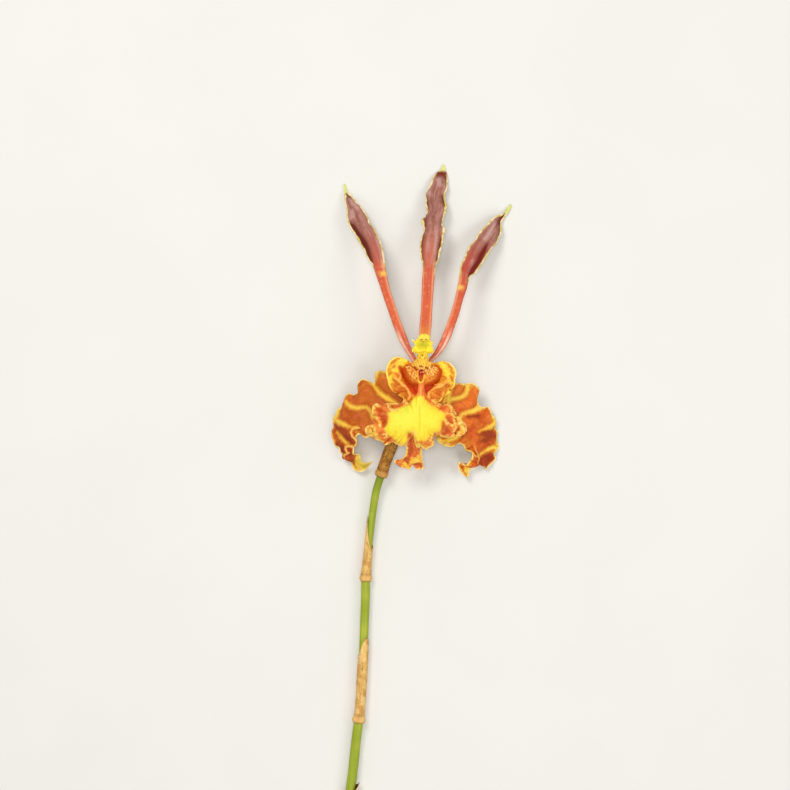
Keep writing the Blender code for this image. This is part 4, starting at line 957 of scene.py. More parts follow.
def makeBroadSepal(name, shape):
    sheet = blade(shape["stations"], 240, 80)
    trim(sheet, shape["outer"], shape["inner"], 0.9, 0.8)
    seed = shape["seed"]
    free = step(sheet.arc, 14, 24)
    room = np.clip(sheet.width / 12, 0.12, 1)
    outerWave = 1.6 * wobble(sheet.leftArc, 7.2, seed) + 0.5 * wobble(sheet.leftArc, 2.6, seed + 1)
    innerWave = 1.4 * wobble(sheet.rightArc, 6.4, seed + 2) + 0.5 * wobble(sheet.rightArc, 2.4, seed + 3)
    lift = outerWave * bell(sheet.fromLeft, 3.2, 1.6) + innerWave * bell(sheet.fromRight, 3.0, 1.6)
    lift = lift * free * room
    lift += 0.6 * free * wobble(sheet.arc * 0.9 + 2.2 * sheet.side, 8.5, seed + 4) * (1 - sheet.side**2)
    bar = strokes(sheet.grid, shape["bars"])
    lift -= 0.3 * bell(bar.clip(0), 0.9) * free  # the yellow bars lie in shallow furrows
    lift += 0.9 * bell(strokes(sheet.grid, shape["folds"]).clip(0), 0.45)
    lift -= 0.5 * bell(strokes(sheet.grid, shape["dark"]).clip(0), 1.2)
    sheet.push(lift)
    sheet.grid[..., 2] = 0.35 + np.logaddexp(0, (sheet.grid[..., 2] - 0.35) / 0.4) * 0.4
    trim(sheet, shape["outer"], shape["inner"], 0.5, 0.5)
    thickness = 0.16 + 0.5 * step(sheet.edge, 0, 1.6) * np.clip(sheet.width / 4, 0.2, 1)
    sheet.values = {"along": sheet.arc, "side": sheet.side, "edge": sheet.edge, "lift": lift}
    sheet.mark(shape, "bars", "folds", "dark", "lime", "glow")
    dress(sheet.build(name, thickness, orangeLook(name + "Skin", shape)), "orange_sepal", shape["node"])


makeBroadSepal("leftLateralSepal", leftLateralSepal)
makeBroadSepal("rightLateralSepal", rightLateralSepal)


# heights: degrees round from the right, height of the margin; flaps: rim, root, height above the lip
lip = {
    "centre": (-2.4, 36.6, 26.4),
    "margin": [(1.1, 54), (1.4, 51.6), (1.7, 49.4), (2.4, 47.6), (3.7, 45.9), (5.1, 45.8), (6.6, 45.2),
        (8.2, 44.4), (9.6, 42.8), (11, 43.8), (13.3, 43.4), (14.9, 41), (15.9, 38.9), (17.3, 38),
        (18.8, 36.4), (20.5, 34.2), (20.3, 31.6), (17.9, 29.8), (15.4, 29.7), (13.2, 28.7), (10.4, 29.1),
        (8.2, 29.8), (6.4, 30), (5.2, 28.6), (5.8, 26.7), (4.9, 25), (2.6, 23.6), (0.4, 24.5), (-2, 24.9),
        (-2.8, 27.2), (-3.6, 29.4), (-4.8, 28.8), (-6.2, 26.9), (-8, 25.3), (-10.6, 25.5), (-12.4, 27),
        (-14.3, 26.3), (-16.3, 25.5), (-18.2, 27.4), (-20.4, 28), (-22.4, 29.1), (-24.4, 30.4), (-25, 33),
        (-23.3, 34.5), (-20.9, 35), (-20.2, 37), (-21.6, 39.2), (-22.2, 41.5), (-21.2, 43.4), (-19.6, 44.2),
        (-18, 42.4), (-15.9, 42.8), (-14.5, 44.4), (-11.9, 44.2), (-9, 44.4), (-7.3, 46.2), (-6.2, 44.8),
        (-4.4, 45.9), (-2.6, 47.6), (-1.3, 49.4), (-0.9, 51.6), (-0.7, 54)],
    "heights": [(-180, 19.6), (-150, 18.9), (-125, 19.8), (-108, 21.4), (-96, 22.4), (-84, 21.2),
        (-70, 20.4), (-50, 20.8), (-20, 19.2), (0, 18.8), (25, 19.6), (45, 21.4), (60, 23), (68, 24.6),
        (82, 25.3), (92, 24), (105, 22.2), (120, 20.8), (150, 19.8), (180, 19.6)],
    "blaze": [(-0.5, 47.7), (0.8, 47.4), (2.1, 45.2), (3.7, 43.6), (6.6, 42.7), (7.4, 41.2), (9.3, 40.5),
        (10.9, 38.9), (10.1, 37.2), (8.8, 35.2), (8.6, 32.6), (7.4, 31.8), (5.6, 31.5), (4.8, 30.2),
        (3.5, 29), (1.3, 27.6), (-2, 27.7), (-3.1, 29.1), (-4, 31.4), (-5.6, 31.4), (-6.7, 30.2),
        (-6.3, 28.6), (-6.7, 26.8), (-8.3, 26), (-9.8, 26.5), (-11.3, 27.7), (-12.8, 29), (-14.2, 30.2),
        (-15.8, 31.5), (-16.3, 32.9), (-15.5, 33.9), (-14.6, 35.8), (-14.2, 37.9), (-14.9, 40.1),
        (-12.5, 40.9), (-9.8, 41.9), (-7.5, 42.9), (-5.3, 43.6), (-4.3, 45), (-3.5, 46.8)],
    "pale": [[(-15.5, 44.2, 0.3), (-13.9, 44, 0.35), (-14.6, 43.2, 0.4), (-14.1, 41.9, 0.45),
        (-12.5, 40.9, 0.4), (-10.2, 41.3, 0.2)], [(-19.9, 44.2, 0.2), (-19.5, 43.4, 0.3),
        (-18.7, 42.9, 0.15)], [(-21.8, 42.4, 0.3), (-22, 40.8, 0.3)], [(-20, 37.9, 0.25), (-19, 36.8, 0.35),
        (-18.3, 35.2, 0.35), (-18.5, 33.6, 0.15)], [(-24.4, 33.9, 0.1), (-23.1, 34.2, 0.2),
        (-21.6, 34, 0.15), (-20.9, 32.9, 0)], [(-17.4, 30.3, 0.15), (-16.7, 30.7, 0.2), (-15.5, 30.3, 0.25),
        (-15.4, 29.5, 0.25), (-16.1, 29, 0.2)], [(-8.8, 47.2, 0.2), (-7.7, 46.4, 0.3), (-7.3, 45, 0.4),
        (-6.4, 44.2, 0.3)], [(11.2, 39.9, 0.2), (12.7, 40.1, 0.3), (14.3, 39.3, 0.35), (15.1, 38, 0.3)],
        [(10.8, 37.4, 0.18), (11.2, 36, 0.2), (12.5, 34.7, 0.22), (14.1, 34.2, 0.3)], [(14.3, 37.4, 0.2),
        (15.1, 35.8, 0.35), (15.4, 33.6, 0.4), (14.3, 31.5, 0.3), (14.2, 29.9, 0.35)], [(15.9, 37.9, 0.3),
        (17.8, 37.4, 0.5)], [(18.3, 36, 0.4), (16.5, 35, 0.3)], [(19.1, 32.9, 0.3), (19.4, 31.2, 0.4)],
        [(17.8, 29.9, 0.3), (15.7, 29.5, 0.3)], [(10.9, 43.4, 0.15), (12.2, 43.7, 0.3), (13.5, 42.4, 0.3),
        (13.9, 40.5, 0.2)], [(6, 45.2, 0.2), (6.8, 43.7, 0.25), (7.8, 42.7, 0.15)], [(8.2, 31, 0.15),
        (8.6, 29.9, 0.25), (10.1, 28.9, 0.3), (12.2, 28.6, 0.3), (13.8, 29.4, 0.2)], [(4.3, 28.3, 0.2),
        (4.8, 29.9, 0.2), (5.5, 31.3, 0.15), (6.4, 31.6, 0.15), (7.4, 30.5, 0.15)], [(2.9, 48.7, 0.25),
        (3.7, 46.9, 0.25), (4.3, 45.8, 0.1)], [(-3.6, 32, 0.3), (-2.7, 31.1, 0.3), (-2.1, 29.9, 0.25)],
        [(-6, 27.9, 0.2), (-5.7, 26.8, 0.2), (-5.4, 25.8, 0.25)], [(-3.5, 27.5, 0.15), (-2.9, 26.1, 0.3),
        (-2, 24.7, 0.3)], [(4.8, 29.3, 0.2), (4.1, 27.9, 0.2), (4.9, 27.2, 0.3), (5.8, 25.9, 0.3)]],
    "dark": [[(11.6, 37.9, 0.4), (12.7, 36.7, 0.9), (13.5, 35.5, 0.6)], [(15.4, 31.5, 0.4),
        (16.5, 32.6, 0.8), (17.5, 32.9, 0.5)], [(15.4, 36.8, 0.3), (16.5, 37.1, 0.3)], [(10.1, 36, 0.6),
        (10.1, 33.9, 0.8), (11.9, 32.1, 1), (10.6, 31, 0.6)], [(6.5, 30.9, 0.4), (7, 30.3, 0.4)],
        [(-16.7, 39.5, 0.6), (-17, 37.4, 1.3), (-16.7, 35.2, 1), (-17.3, 33.9, 0.5)], [(-19.6, 41.9, 0.5),
        (-18.3, 40.5, 0.8), (-18.9, 39.5, 0.6)], [(-14.6, 27.8, 0.6), (-15.1, 27, 0.5), (-13.3, 28.6, 0.4)],
        [(-5.6, 30.5, 0.5), (-4.9, 28.6, 0.7), (-4.9, 26.2, 0.5)], [(-13, 43.4, 0.4), (-10.9, 44, 0.5),
        (-9.3, 44, 0.3)]],
    "gold": [[(-22.8, 33, 0.4), (-22.5, 30.6, 0.9), (-22.2, 29, 0.6)], [(-19.4, 28.6, 0.5),
        (-18.4, 27.8, 0.4)], [(-12, 26.6, 0.5), (-10, 26.4, 0.5), (-8, 25.8, 0.4)], [(-1.8, 25.8, 0.7),
        (0.4, 25.4, 0.6)], [(-14.8, 43.8, 0.3), (-14.2, 42.6, 0.4)], [(9.4, 29.6, 0.3), (12, 29.4, 0.4)],
        [(16.2, 38.2, 0.4), (17.2, 36.6, 0.9), (18, 34.6, 0.9), (18.6, 32.2, 0.8), (16.8, 30.6, 0.5)],
        [(-20.6, 33.4, 0.3), (-20.8, 31.4, 0.7), (-20, 29.6, 0.7)]],
    "holes": [[(-16.5, 29.7, 0.28), (-16.4, 29.6, 0.28)], [(-21.6, 32.3, 0.18), (-21.7, 31.8, 0.18)],
        [(15.1, 31, 0.35), (15.4, 30.7, 0.3)], [(-22, 28.9, 0.4), (-23.2, 29.3, 0.3)]],
    "creases": [(0.9, [(18.8, 36.4), (15.6, 36), (12.6, 36.6)]),
        (0.9, [(-20.6, 36.4), (-17.8, 36.2), (-15.8, 35.6)]),
        (0.7, [(-18.2, 42.4), (-16.6, 40.6), (-15.2, 39.4)]),
        (0.7, [(-12.6, 27.4), (-12, 29.4), (-11.4, 31)])],
    "flaps": [([(11, 39.6), (12.7, 40.2), (14.3, 39.4), (15.2, 37.9)], [(11.4, 37.6), (12.7, 37.8),
        (13.7, 37.4), (14, 36.8)], 1.3), ([(10.7, 37.5), (11.2, 36), (12.5, 34.7), (14.2, 34.2)],
        [(9.4, 36.3), (9.9, 34.2), (11.4, 32.7), (13.3, 32.4), (14.9, 32.7)], 1.4), ([(10.8, 43.5),
        (12.3, 43.7), (13.6, 42.5), (14, 40.5)], [(9.6, 42.2), (10.4, 40.5), (11.9, 39.8)], 1.2),
        ([(-15.6, 44.3), (-13.9, 44.1), (-14.4, 43.1), (-14, 41.9), (-12.5, 41), (-10.2, 41.2)],
        [(-17.4, 43), (-16, 41.2), (-14.6, 40), (-12.4, 39.5)], 1.1), ([(-20.1, 38.1), (-18.9, 36.8),
        (-18.1, 35.2), (-18.4, 33.4)], [(-21.6, 37.4), (-20.6, 36), (-20.2, 34.8), (-20, 33.6)], 1.2),
        ([(18.2, 34.5), (19.3, 32.9), (19.7, 31), (17.9, 29.8), (15.6, 29.3)], [(16.9, 33.4), (17.3, 32.4),
        (17, 31.6), (15.9, 31.2)], 0.9)],
}
yellow = palette(
    blaze=(252, 228, 58), shade=(246, 208, 48), deep=(234, 184, 44), lime=(224, 228, 66),
    frill=(234, 132, 50), red=(216, 96, 32), dark=(178, 66, 14), edge=(250, 200, 78), cream=(252, 214, 124),
    waist=(242, 122, 50), back=(226, 190, 70), blush=(206, 128, 58), hole=(60, 24, 6), soft=(230, 196, 80),
)


def lipLook():
    g = Graph("lipSkin")
    edge, blaze, front, turn = g.read("edge", "blaze", "front", "turn")
    pale, dark, hole = g.read("pale", "dark", "holes")
    across, up = g.axis("X"), g.axis("Y")
    small, large = g.noise(1.2, 3), g.noise(3.4, 2)
    rays = g.fibres(turn * 13, g.value("ring") * 0.8)
    frill = g.coat(yellow["frill"], [
        (large.ease(0.4, 0.58), yellow["red"]),
        (small.ease(0.54, 0.74) * 0.5, yellow["dark"]),
        (small.ease(0.44, 0.28) * 0.6, yellow["edge"]),
        # painted shade in the hollows between and under the frills
        (dark.stir(small, 1).ease(0.9, -0.5) * 0.6, yellow["dark"]),
    ])
    reach = edge.stir(small, 1)
    patchy = g.noise(2, 1).ease(0.36, 0.54)
    frill = g.coat(frill, [
        (g.value("gold").stir(small, 1.2).ease(0.6, -0.3) * 0.85, yellow["soft"]),
        (reach.ease(1.8, 0.5) * patchy * 0.8, yellow["edge"]),
        (reach.ease(0.75, 0.3) * (0.3 + patchy * 0.7), yellow["cream"]),
    ])
    petal = g.coat(yellow["blaze"], [
        (rays.ease(0.42, 0.7) * 0.6, yellow["shade"]),
        (blaze.ease(3.2, 0.4) * 0.3, yellow["deep"]),
        (across.ease(2, -8) * up.ease(28, 37) * large.ease(0.3, 0.55) * 0.8, yellow["lime"]),
    ])
    streak = g.fibres(across * 1.1, up * 0.1, 2)
    petal = g.mix(streak.ease(0.46, 0.66) * up.ease(36, 30) * 0.45, petal, yellow["deep"])
    # painted shade along the furrow down the middle of the lobe
    middle = abs((across + 0.6).stir(large, 0.7))
    furrow = middle.ease(0.6, 0.1) * up.ease(27, 33) * up.ease(45, 42)
    petal = g.mix(furrow * 0.4, petal, yellow["deep"])
    isBlaze = blaze.stir(small, 1.6).stir(rays, 1.6).ease(-0.6, 0.6)
    colour = g.coat(frill, [
        (isBlaze, petal),
        (blaze.near(-0.1, 0.7) * dark.ease(0.2, 1.2) * 0.3, yellow["edge"]),
        (edge.stir(small, 0.8).ease(0.8, 0.4) * isBlaze * up.ease(33, 30), yellow["cream"]),
    ])
    waist = g.mix(small.ease(0.4, 0.7) * 0.5, yellow["waist"], yellow["red"])
    fine = g.fibres(across, up * 0.12, 2, size=0.7)
    waist = g.mix(fine.ease(0.5, 0.62) * 0.6, waist, yellow["red"])
    waist = g.mix(fine.ease(0.46, 0.36) * 0.6, waist, yellow["edge"])
    colour = g.mix(up.stir(small, 0.8).ease(47.3, 48.5) * (1 - isBlaze), colour, waist)
    torn = 0.3 + g.noise(1.1, 2).ease(0.42, 0.56) * 0.7
    colour = g.coat(colour, [
        (pale.stir(small, 0.9).ease(0.6, -0.1) * torn * 0.9, yellow["edge"]),
        (pale.stir(small, 0.6).ease(-0.02, -0.2) * torn * 0.85, yellow["cream"]),
        # painted shade: the small pits among the frills are near black
        (hole.ease(0.25, -0.15), yellow["hole"]),
    ])
    behind = g.mix(rays.ease(0.4, 0.7), yellow["back"], yellow["blush"])
    colour = g.mix(1 - front, colour, behind)
    relief = rays * 0.5 + small * 0.5 + g.noise(0.35, 2) * 0.3
    return g.finish(colour, 0.44 + small * 0.14, relief, 0.18, Specular_IOR_Level=0.3)


def makeLipLobe(material):
    rings, columns = 68, 500
    centre = np.array(lip["centre"])
    margin = evenly(lip["margin"], columns, width=2, loop=True)
    turn = np.degrees(np.arctan2(margin[:, 1] - centre[1], margin[:, 0] - centre[0]))
    height = smooth(np.interp(turn, *zip(*lip["heights"])), 6)
    arc = lengthAlong(margin, loop=True)[:-1]
    reach = np.column_stack([margin - centre[:2], height - centre[2]])
    even = smooth(reach, 23)
    neck = step(margin[:, 1], 45.5, 49.0)[:, None]
    even = even * (1 - neck) + reach * neck
    s = (np.linspace(0.01, 1, rings) ** 0.8)[:, None, None]
    flat = even * s + (reach - even) * s**3
    grid = centre + flat
    grid[..., 2] = centre[2] + (flat[..., 2] / s[..., 0]) * (0.12 * s[..., 0] + 0.88 * s[..., 0] ** 2.4)
    sheet = Sheet(grid, loop=True)
    span = np.linalg.norm(reach[:, :2], axis=1)[None, :]
    fromEdge = span * (1 - s[..., 0])
    loose = 1 - neck[:, 0][None, :]
    phase = 2 * np.pi * arc / 4.1 + 1.3 * wobble(arc, 9, 60)
    ruffle = loose * (0.75 * np.cos(phase) + 0.9 * wobble(arc, 6.4, 61) + 0.3)
    lift = ruffle * bell(fromEdge, 3.2, 1.5)
    lift += loose * 0.5 * wobble(arc, 1.9, 62) * bell(fromEdge, 1.3, 1.5)
    for deep, line in lip["creases"]:
        lift -= deep * 0.8 * bell(strokes(grid, [line]), 0.8)
    onLength = step(grid[..., 1], 29, 33) * (1 - step(grid[..., 1], 43, 46))  # of the furrow down the middle
    lift -= 0.28 * bell(grid[..., 0] + 0.5, 0.5) * onLength
    lift += 0.1 * wobble(arc * 1.0, 1.6, 63) * step(s[..., 0], 0.2, 0.7) * loose
    pale, dark, hole = (strokes(grid, lip[key]).clip(0) for key in ("pale", "dark", "holes"))
    lift += 0.45 * bell(pale, 0.4) - 0.8 * bell(dark, 0.8) - 0.9 * bell(hole, 0.35)
    sheet.push(lift)
    # the margin keeps its outline, whatever the ruffles do
    home = margin - sheet.grid[-1, :, :2]
    sheet.grid[..., :2] += home[None] * bell(fromEdge, 1.6, 1.5)[..., None]
    outward = unit(np.column_stack([reach[:, :2], np.zeros(columns)]))[None, :]
    teeth = (0.36 * ragged(arc, 0.8, 64) + 0.2 * ragged(arc, 0.45, 65)) * loose * np.exp(-fromEdge / 0.6)
    sheet.grid += outward * teeth[..., None]
    away = strokes(sheet.grid, [lip["blaze"] + lip["blaze"][:1]])
    sheet.values = {
        "edge": fromEdge + 4 * neck[:, 0][None, :], "ring": fromEdge,
        "turn": np.radians(np.abs(turn))[None, :],
        "blaze": np.where(insideOf(sheet.grid, lip["blaze"]), away, -away),
    }
    sheet.mark(lip, "pale", "dark", "holes", "gold")
    thickness = 0.2 + 0.6 * step(fromEdge, 0, 2.0) + 0.12 * bell(fromEdge - 0.25, 0.25)
    dress(sheet.build("lipMiddleLobe", thickness, material, centre=True), "yellow_lip", "lip")
    return sheet.grid


def makeFlaps(ground, material):  # small frills that stand up on the lobe
    rows, columns = 96, 32
    ground = ground.reshape(-1, 3)
    for number, (rim, root, high) in enumerate(lip["flaps"]):
        outer, inner = evenly(rim, rows, width=2), evenly(root, rows, width=2)
        v, flat, fromEdge = ruled(inner, outer, columns)
        near = [ground[np.argmin(np.sum((ground[:, :2] - p) ** 2, -1)), 2] for p in inner]
        arc = lengthAlong(outer)[:, None]
        level = np.convolve(np.pad(near, 9, mode="edge"), np.ones(19) / 19, mode="valid")[:, None]
        ends = np.sin(np.pi * np.clip(np.linspace(0.06, 0.94, rows), 0, 1))[:, None] ** 0.5
        z = level - 0.45 + (high * ends + 0.45) * v**0.75 + 0.28 * wobble(arc, 2.6, 130 + number) * v**2
        z += 0.1 * wobble(arc + 1.5 * v, 0.9, 140 + number) * np.sin(np.pi * v)
        sheet = Sheet(np.dstack([flat, z]))
        outward = unit(np.column_stack([outer - inner, np.zeros(rows)]))[:, None]
        sheet.grid += outward * (0.26 * ragged(arc, 0.7, 150 + number) * np.exp(-fromEdge / 0.5))[..., None]
        sheet.values = {"edge": fromEdge + 0.25, "ring": fromEdge, "turn": arc / 9, "blaze": -3.0}
        sheet.values.update(pale=3.0, holes=3.0)
        sheet.mark(lip, "dark", "gold")
        dress(sheet.build(f"lipFrill{number}", 0.18 + 0.4 * (1 - v), material), "yellow_lip", "lip")


tongue = {
    "stations": [(-5, 33, 24.3, -2.6, 33, 24.3, 0.1), (-5.6, 30.4, 22.8, -2, 30.4, 22.8, 0.2),
        (-6.6, 27.4, 20.4, -0.4, 27.4, 20.4, 0.4), (-7, 24.2, 18.6, 0.5, 24.2, 18.4, 0.6),
        (-7.6, 21.2, 17, 0.6, 21.2, 16.6, 0.8), (-9.8, 18.9, 15.8, 1, 19, 15.4, 1),
        (-11.8, 17.4, 14.8, 0.9, 17, 14.4, 0.9), (-9.6, 14.9, 14.2, 0.6, 14.6, 13.8, 0.7)],
    "left": [(-6.5, 27.5), (-7, 25.4), (-6.6, 24.4), (-6.7, 23), (-6.9, 21.4), (-7.5, 20.3), (-8.5, 19.4),
        (-9.9, 18.8), (-11.3, 18.7), (-12.2, 18), (-11.4, 16.5), (-9.9, 16), (-9.5, 15)],
    "right": [(-0.2, 27.4), (0.3, 25.4), (0.5, 23.9), (0.4, 22.4), (0.3, 20.7), (1, 20.2), (0.5, 19.7),
        (0.5, 18.6), (1, 18.1), (1.2, 16.8), (1.2, 15.2), (0.6, 14.1)],
    "yellow": [[(0, 23.7, 0.35), (0, 21.7, 0.4), (-0.2, 19.8, 0.8), (-1.6, 19.1, 1), (-3.5, 18.9, 0.9),
        (-4.8, 17.5, 0.6)], [(-7.6, 17.1, 0.8), (-7.1, 15.7, 1.2), (-5.7, 15.5, 0.7), (-8.5, 14.8, 0.5)]],
    "dark": [[(-6, 24.9, 0.6), (-4.4, 24, 1.1), (-5.3, 21.7, 1.2), (-6.7, 19.8, 0.8)], [(-7.1, 18.9, 0.5),
        (-5.7, 17.5, 0.5)], [(-4.6, 28, 0.5), (-4.4, 26, 0.6)], [(-2.2, 16.9, 0.3), (-0.4, 16.9, 0.2)]],
    "pale": [[(-6.8, 25.1, 0.15), (-6.3, 23.7, 0.2), (-6.5, 21.7, 0.2), (-7.1, 20.3, 0.15)],
        [(-3.7, 17.4, 0.1), (-2.8, 18.1, 0.25), (-1.4, 18.5, 0.2), (0.3, 17.9, 0.1)]],
}


def tongueLook():
    g = Graph("tongueSkin")
    along, side, edge, front = g.read("along", "side", "edge", "front")
    gold, dark, pale = g.read("yellow", "dark", "pale")
    small = g.noise(1.2, 3)
    rays = g.fibres(side * 5, along * 0.25)
    colour = g.mix(rays.ease(0.42, 0.66), yellow["frill"], yellow["red"])
    colour = g.mix(small.ease(0.4, 0.62) * 0.75, colour, yellow["dark"])
    grain = g.noise(0.55, 2)
    golden = gold.stir(small, 1.6).stir(grain, 1.4).ease(0.8, -0.4)
    colour = g.coat(colour, [
        (golden * 0.9, g.mix(grain.ease(0.42, 0.6), yellow["edge"], yellow["deep"])),
        (golden * grain.ease(0.6, 0.7) * 0.6, yellow["red"]),
        (dark.stir(small, 0.9).ease(0.5, -0.4) * 0.7, yellow["dark"]),
        (edge.stir(small, 0.9).ease(0.95, 0.35) * 0.9, yellow["edge"]),
        (edge.stir(small, 0.6).ease(0.5, 0.2), yellow["cream"]),
        (pale.stir(small, 0.5).ease(0.3, -0.15) * 0.8, yellow["edge"]),
        (1 - front, g.mix(small.ease(0.4, 0.6), yellow["back"], yellow["blush"])),
    ])
    relief = rays * 0.5 + small * 0.5 + golden * grain
    return g.finish(colour, 0.46 + small * 0.14, relief, 0.3, Specular_IOR_Level=0.3)


def makeTongue(material):
    sheet = blade(tongue["stations"], 128, 84)
    trim(sheet, tongue["left"], tongue["right"], 0.9, 0.9)
    end = sheet.arc[-1, 0]
    free = step(sheet.arc, 6, 11)
    across = sheet.side * 6
    lift = 0.8 * wobble(across + 6, 3.2, 71) * step(sheet.arc, end - 6, end)
    lift += 0.8 * wobble(sheet.leftArc, 3.6, 72) * np.exp(-sheet.fromLeft / 1.6) * free
    lift += 0.8 * wobble(sheet.rightArc, 3.6, 73) * np.exp(-sheet.fromRight / 1.6) * free
    pale, dark = (strokes(sheet.grid, tongue[key]).clip(0) for key in ("pale", "dark"))
    lift += 0.6 * bell(pale, 0.5) - 0.5 * bell(dark, 0.8)
    sheet.push(lift)
    trace(sheet, tongue["left"], -1, 0.5)
    trace(sheet, tongue["right"], 1, 0.5)
    # scallops along the end, with a deep notch between its two parts
    notch = 0.9 * ragged(across + 7, 1.1, 74) - 2.6 * bell(across - 1.3, 1.1) - 1.0 * step(-across, 3.6, 5.4)
    sheet.grid[..., 1] -= notch * np.exp(-((end - sheet.arc) / 1.6))
    edge = np.minimum(sheet.edge, end - sheet.arc)
    sheet.values = {"along": sheet.arc, "side": sheet.side, "edge": edge}
    sheet.mark(tongue, "yellow", "dark", "pale")
    dress(sheet.build("lipTongue", 0.18 + 0.5 * step(edge, 0, 1.6), material), "yellow_lip", "lip")


# side lobes: inner edge beside the callus, free margin, strokes
leftEar = {
    "inner": [(-3.2, 61.8, 23.2), (-5, 61.6, 23), (-6.2, 60.4, 22.9), (-6.7, 58.8, 22.9), (-6, 56.4, 22.9),
        (-4.4, 54.4, 23), (-2.4, 52.8, 23.2), (-1, 51, 23.6), (-0.7, 49.2, 23.8), (-1, 47.6, 23.4)],
    "margin": [(-6.5, 62.9, 24.2), (-7.5, 64.2, 24.6), (-9.2, 64.9, 24.6), (-10.9, 65, 24.4),
        (-12.6, 64.4, 24.2), (-14.2, 63, 24), (-15.2, 61.2, 23.8), (-15.7, 59.3, 23.6), (-15.6, 57, 23.2),
        (-15.1, 54.8, 22.8), (-14.6, 52.8, 22.4), (-13.9, 51.4, 22.2), (-12.6, 49.6, 22),
        (-11.3, 48.9, 21.8), (-9.6, 47.8, 21.6), (-8.2, 46.4, 21.6), (-6.6, 45.2, 21.8), (-4.9, 45.6, 22.4),
        (-3.2, 46.6, 22.8)],
    "folds": [[(-12.2, 56, 0.1), (-11.3, 55.3, 0.2), (-10.3, 54.6, 0.22), (-8.9, 53.3, 0.25),
        (-8.3, 52.5, 0.4), (-7.1, 51.8, 0.25), (-6, 50.4, 0.22), (-5.2, 48.7, 0.25), (-5, 47.4, 0.2),
        (-5.7, 46.2, 0.15)], [(-9.8, 57.7, 0.1), (-9.3, 56.5, 0.18), (-9.5, 55.1, 0.18), (-10, 54.3, 0.1)]],
    "gold": [[(-7.2, 63.4, 0.7), (-8.9, 62.5, 1.2), (-10, 60.9, 1.1), (-10.7, 59.1, 0.8),
        (-12.3, 59.1, 0.4)], [(-14.8, 55.9, 0.4), (-13.6, 55.9, 0.4), (-13.8, 54.3, 0.5),
        (-14.4, 52.7, 0.4)], [(-12.3, 65, 0.1), (-9.9, 64.8, 0.3), (-7.9, 64.2, 0.6)]],
    "blotch": [[(-11.7, 63.4, 0.5), (-12.3, 62.6, 0.6), (-13.4, 62.2, 0.4)], [(-11.9, 60.9, 0.5),
        (-12.5, 60.3, 0.4)], [(-13.4, 58.3, 0.35), (-13.8, 57.7, 0.3), (-14.4, 56.7, 0.3)],
        [(-11.1, 57.5, 0.5), (-10.1, 56.5, 0.75), (-10.3, 55.9, 0.5)], [(-12.1, 54.7, 0.5),
        (-11.1, 53.7, 0.8), (-10.3, 52.7, 0.7), (-11.5, 51.7, 0.5)], [(-9.3, 51, 0.7), (-8.3, 50, 1.2),
        (-7.1, 49.6, 1), (-6.5, 48.4, 0.8)], [(-12.4, 50.4, 0.4), (-10.6, 49.4, 0.8), (-9.2, 48.2, 0.8),
        (-7.6, 47.2, 0.6)], [(-11.5, 64.3, 0.3), (-9.9, 64.2, 0.25)]],
    "dark": [[(-6.9, 47, 0.2), (-6.5, 46.7, 0.2)], [(-9.3, 46, 0.4), (-8.7, 46.2, 0.3)]],
    "valley": [[(-9.5, 60.3, 0.3), (-8.7, 58.5, 0.5), (-7.9, 56.7, 0.7), (-6.7, 54.7, 0.95),
        (-5.3, 52.9, 1.3), (-3.9, 51.5, 1.4), (-2.8, 49.6, 1)]],
    "seed": 81,
}
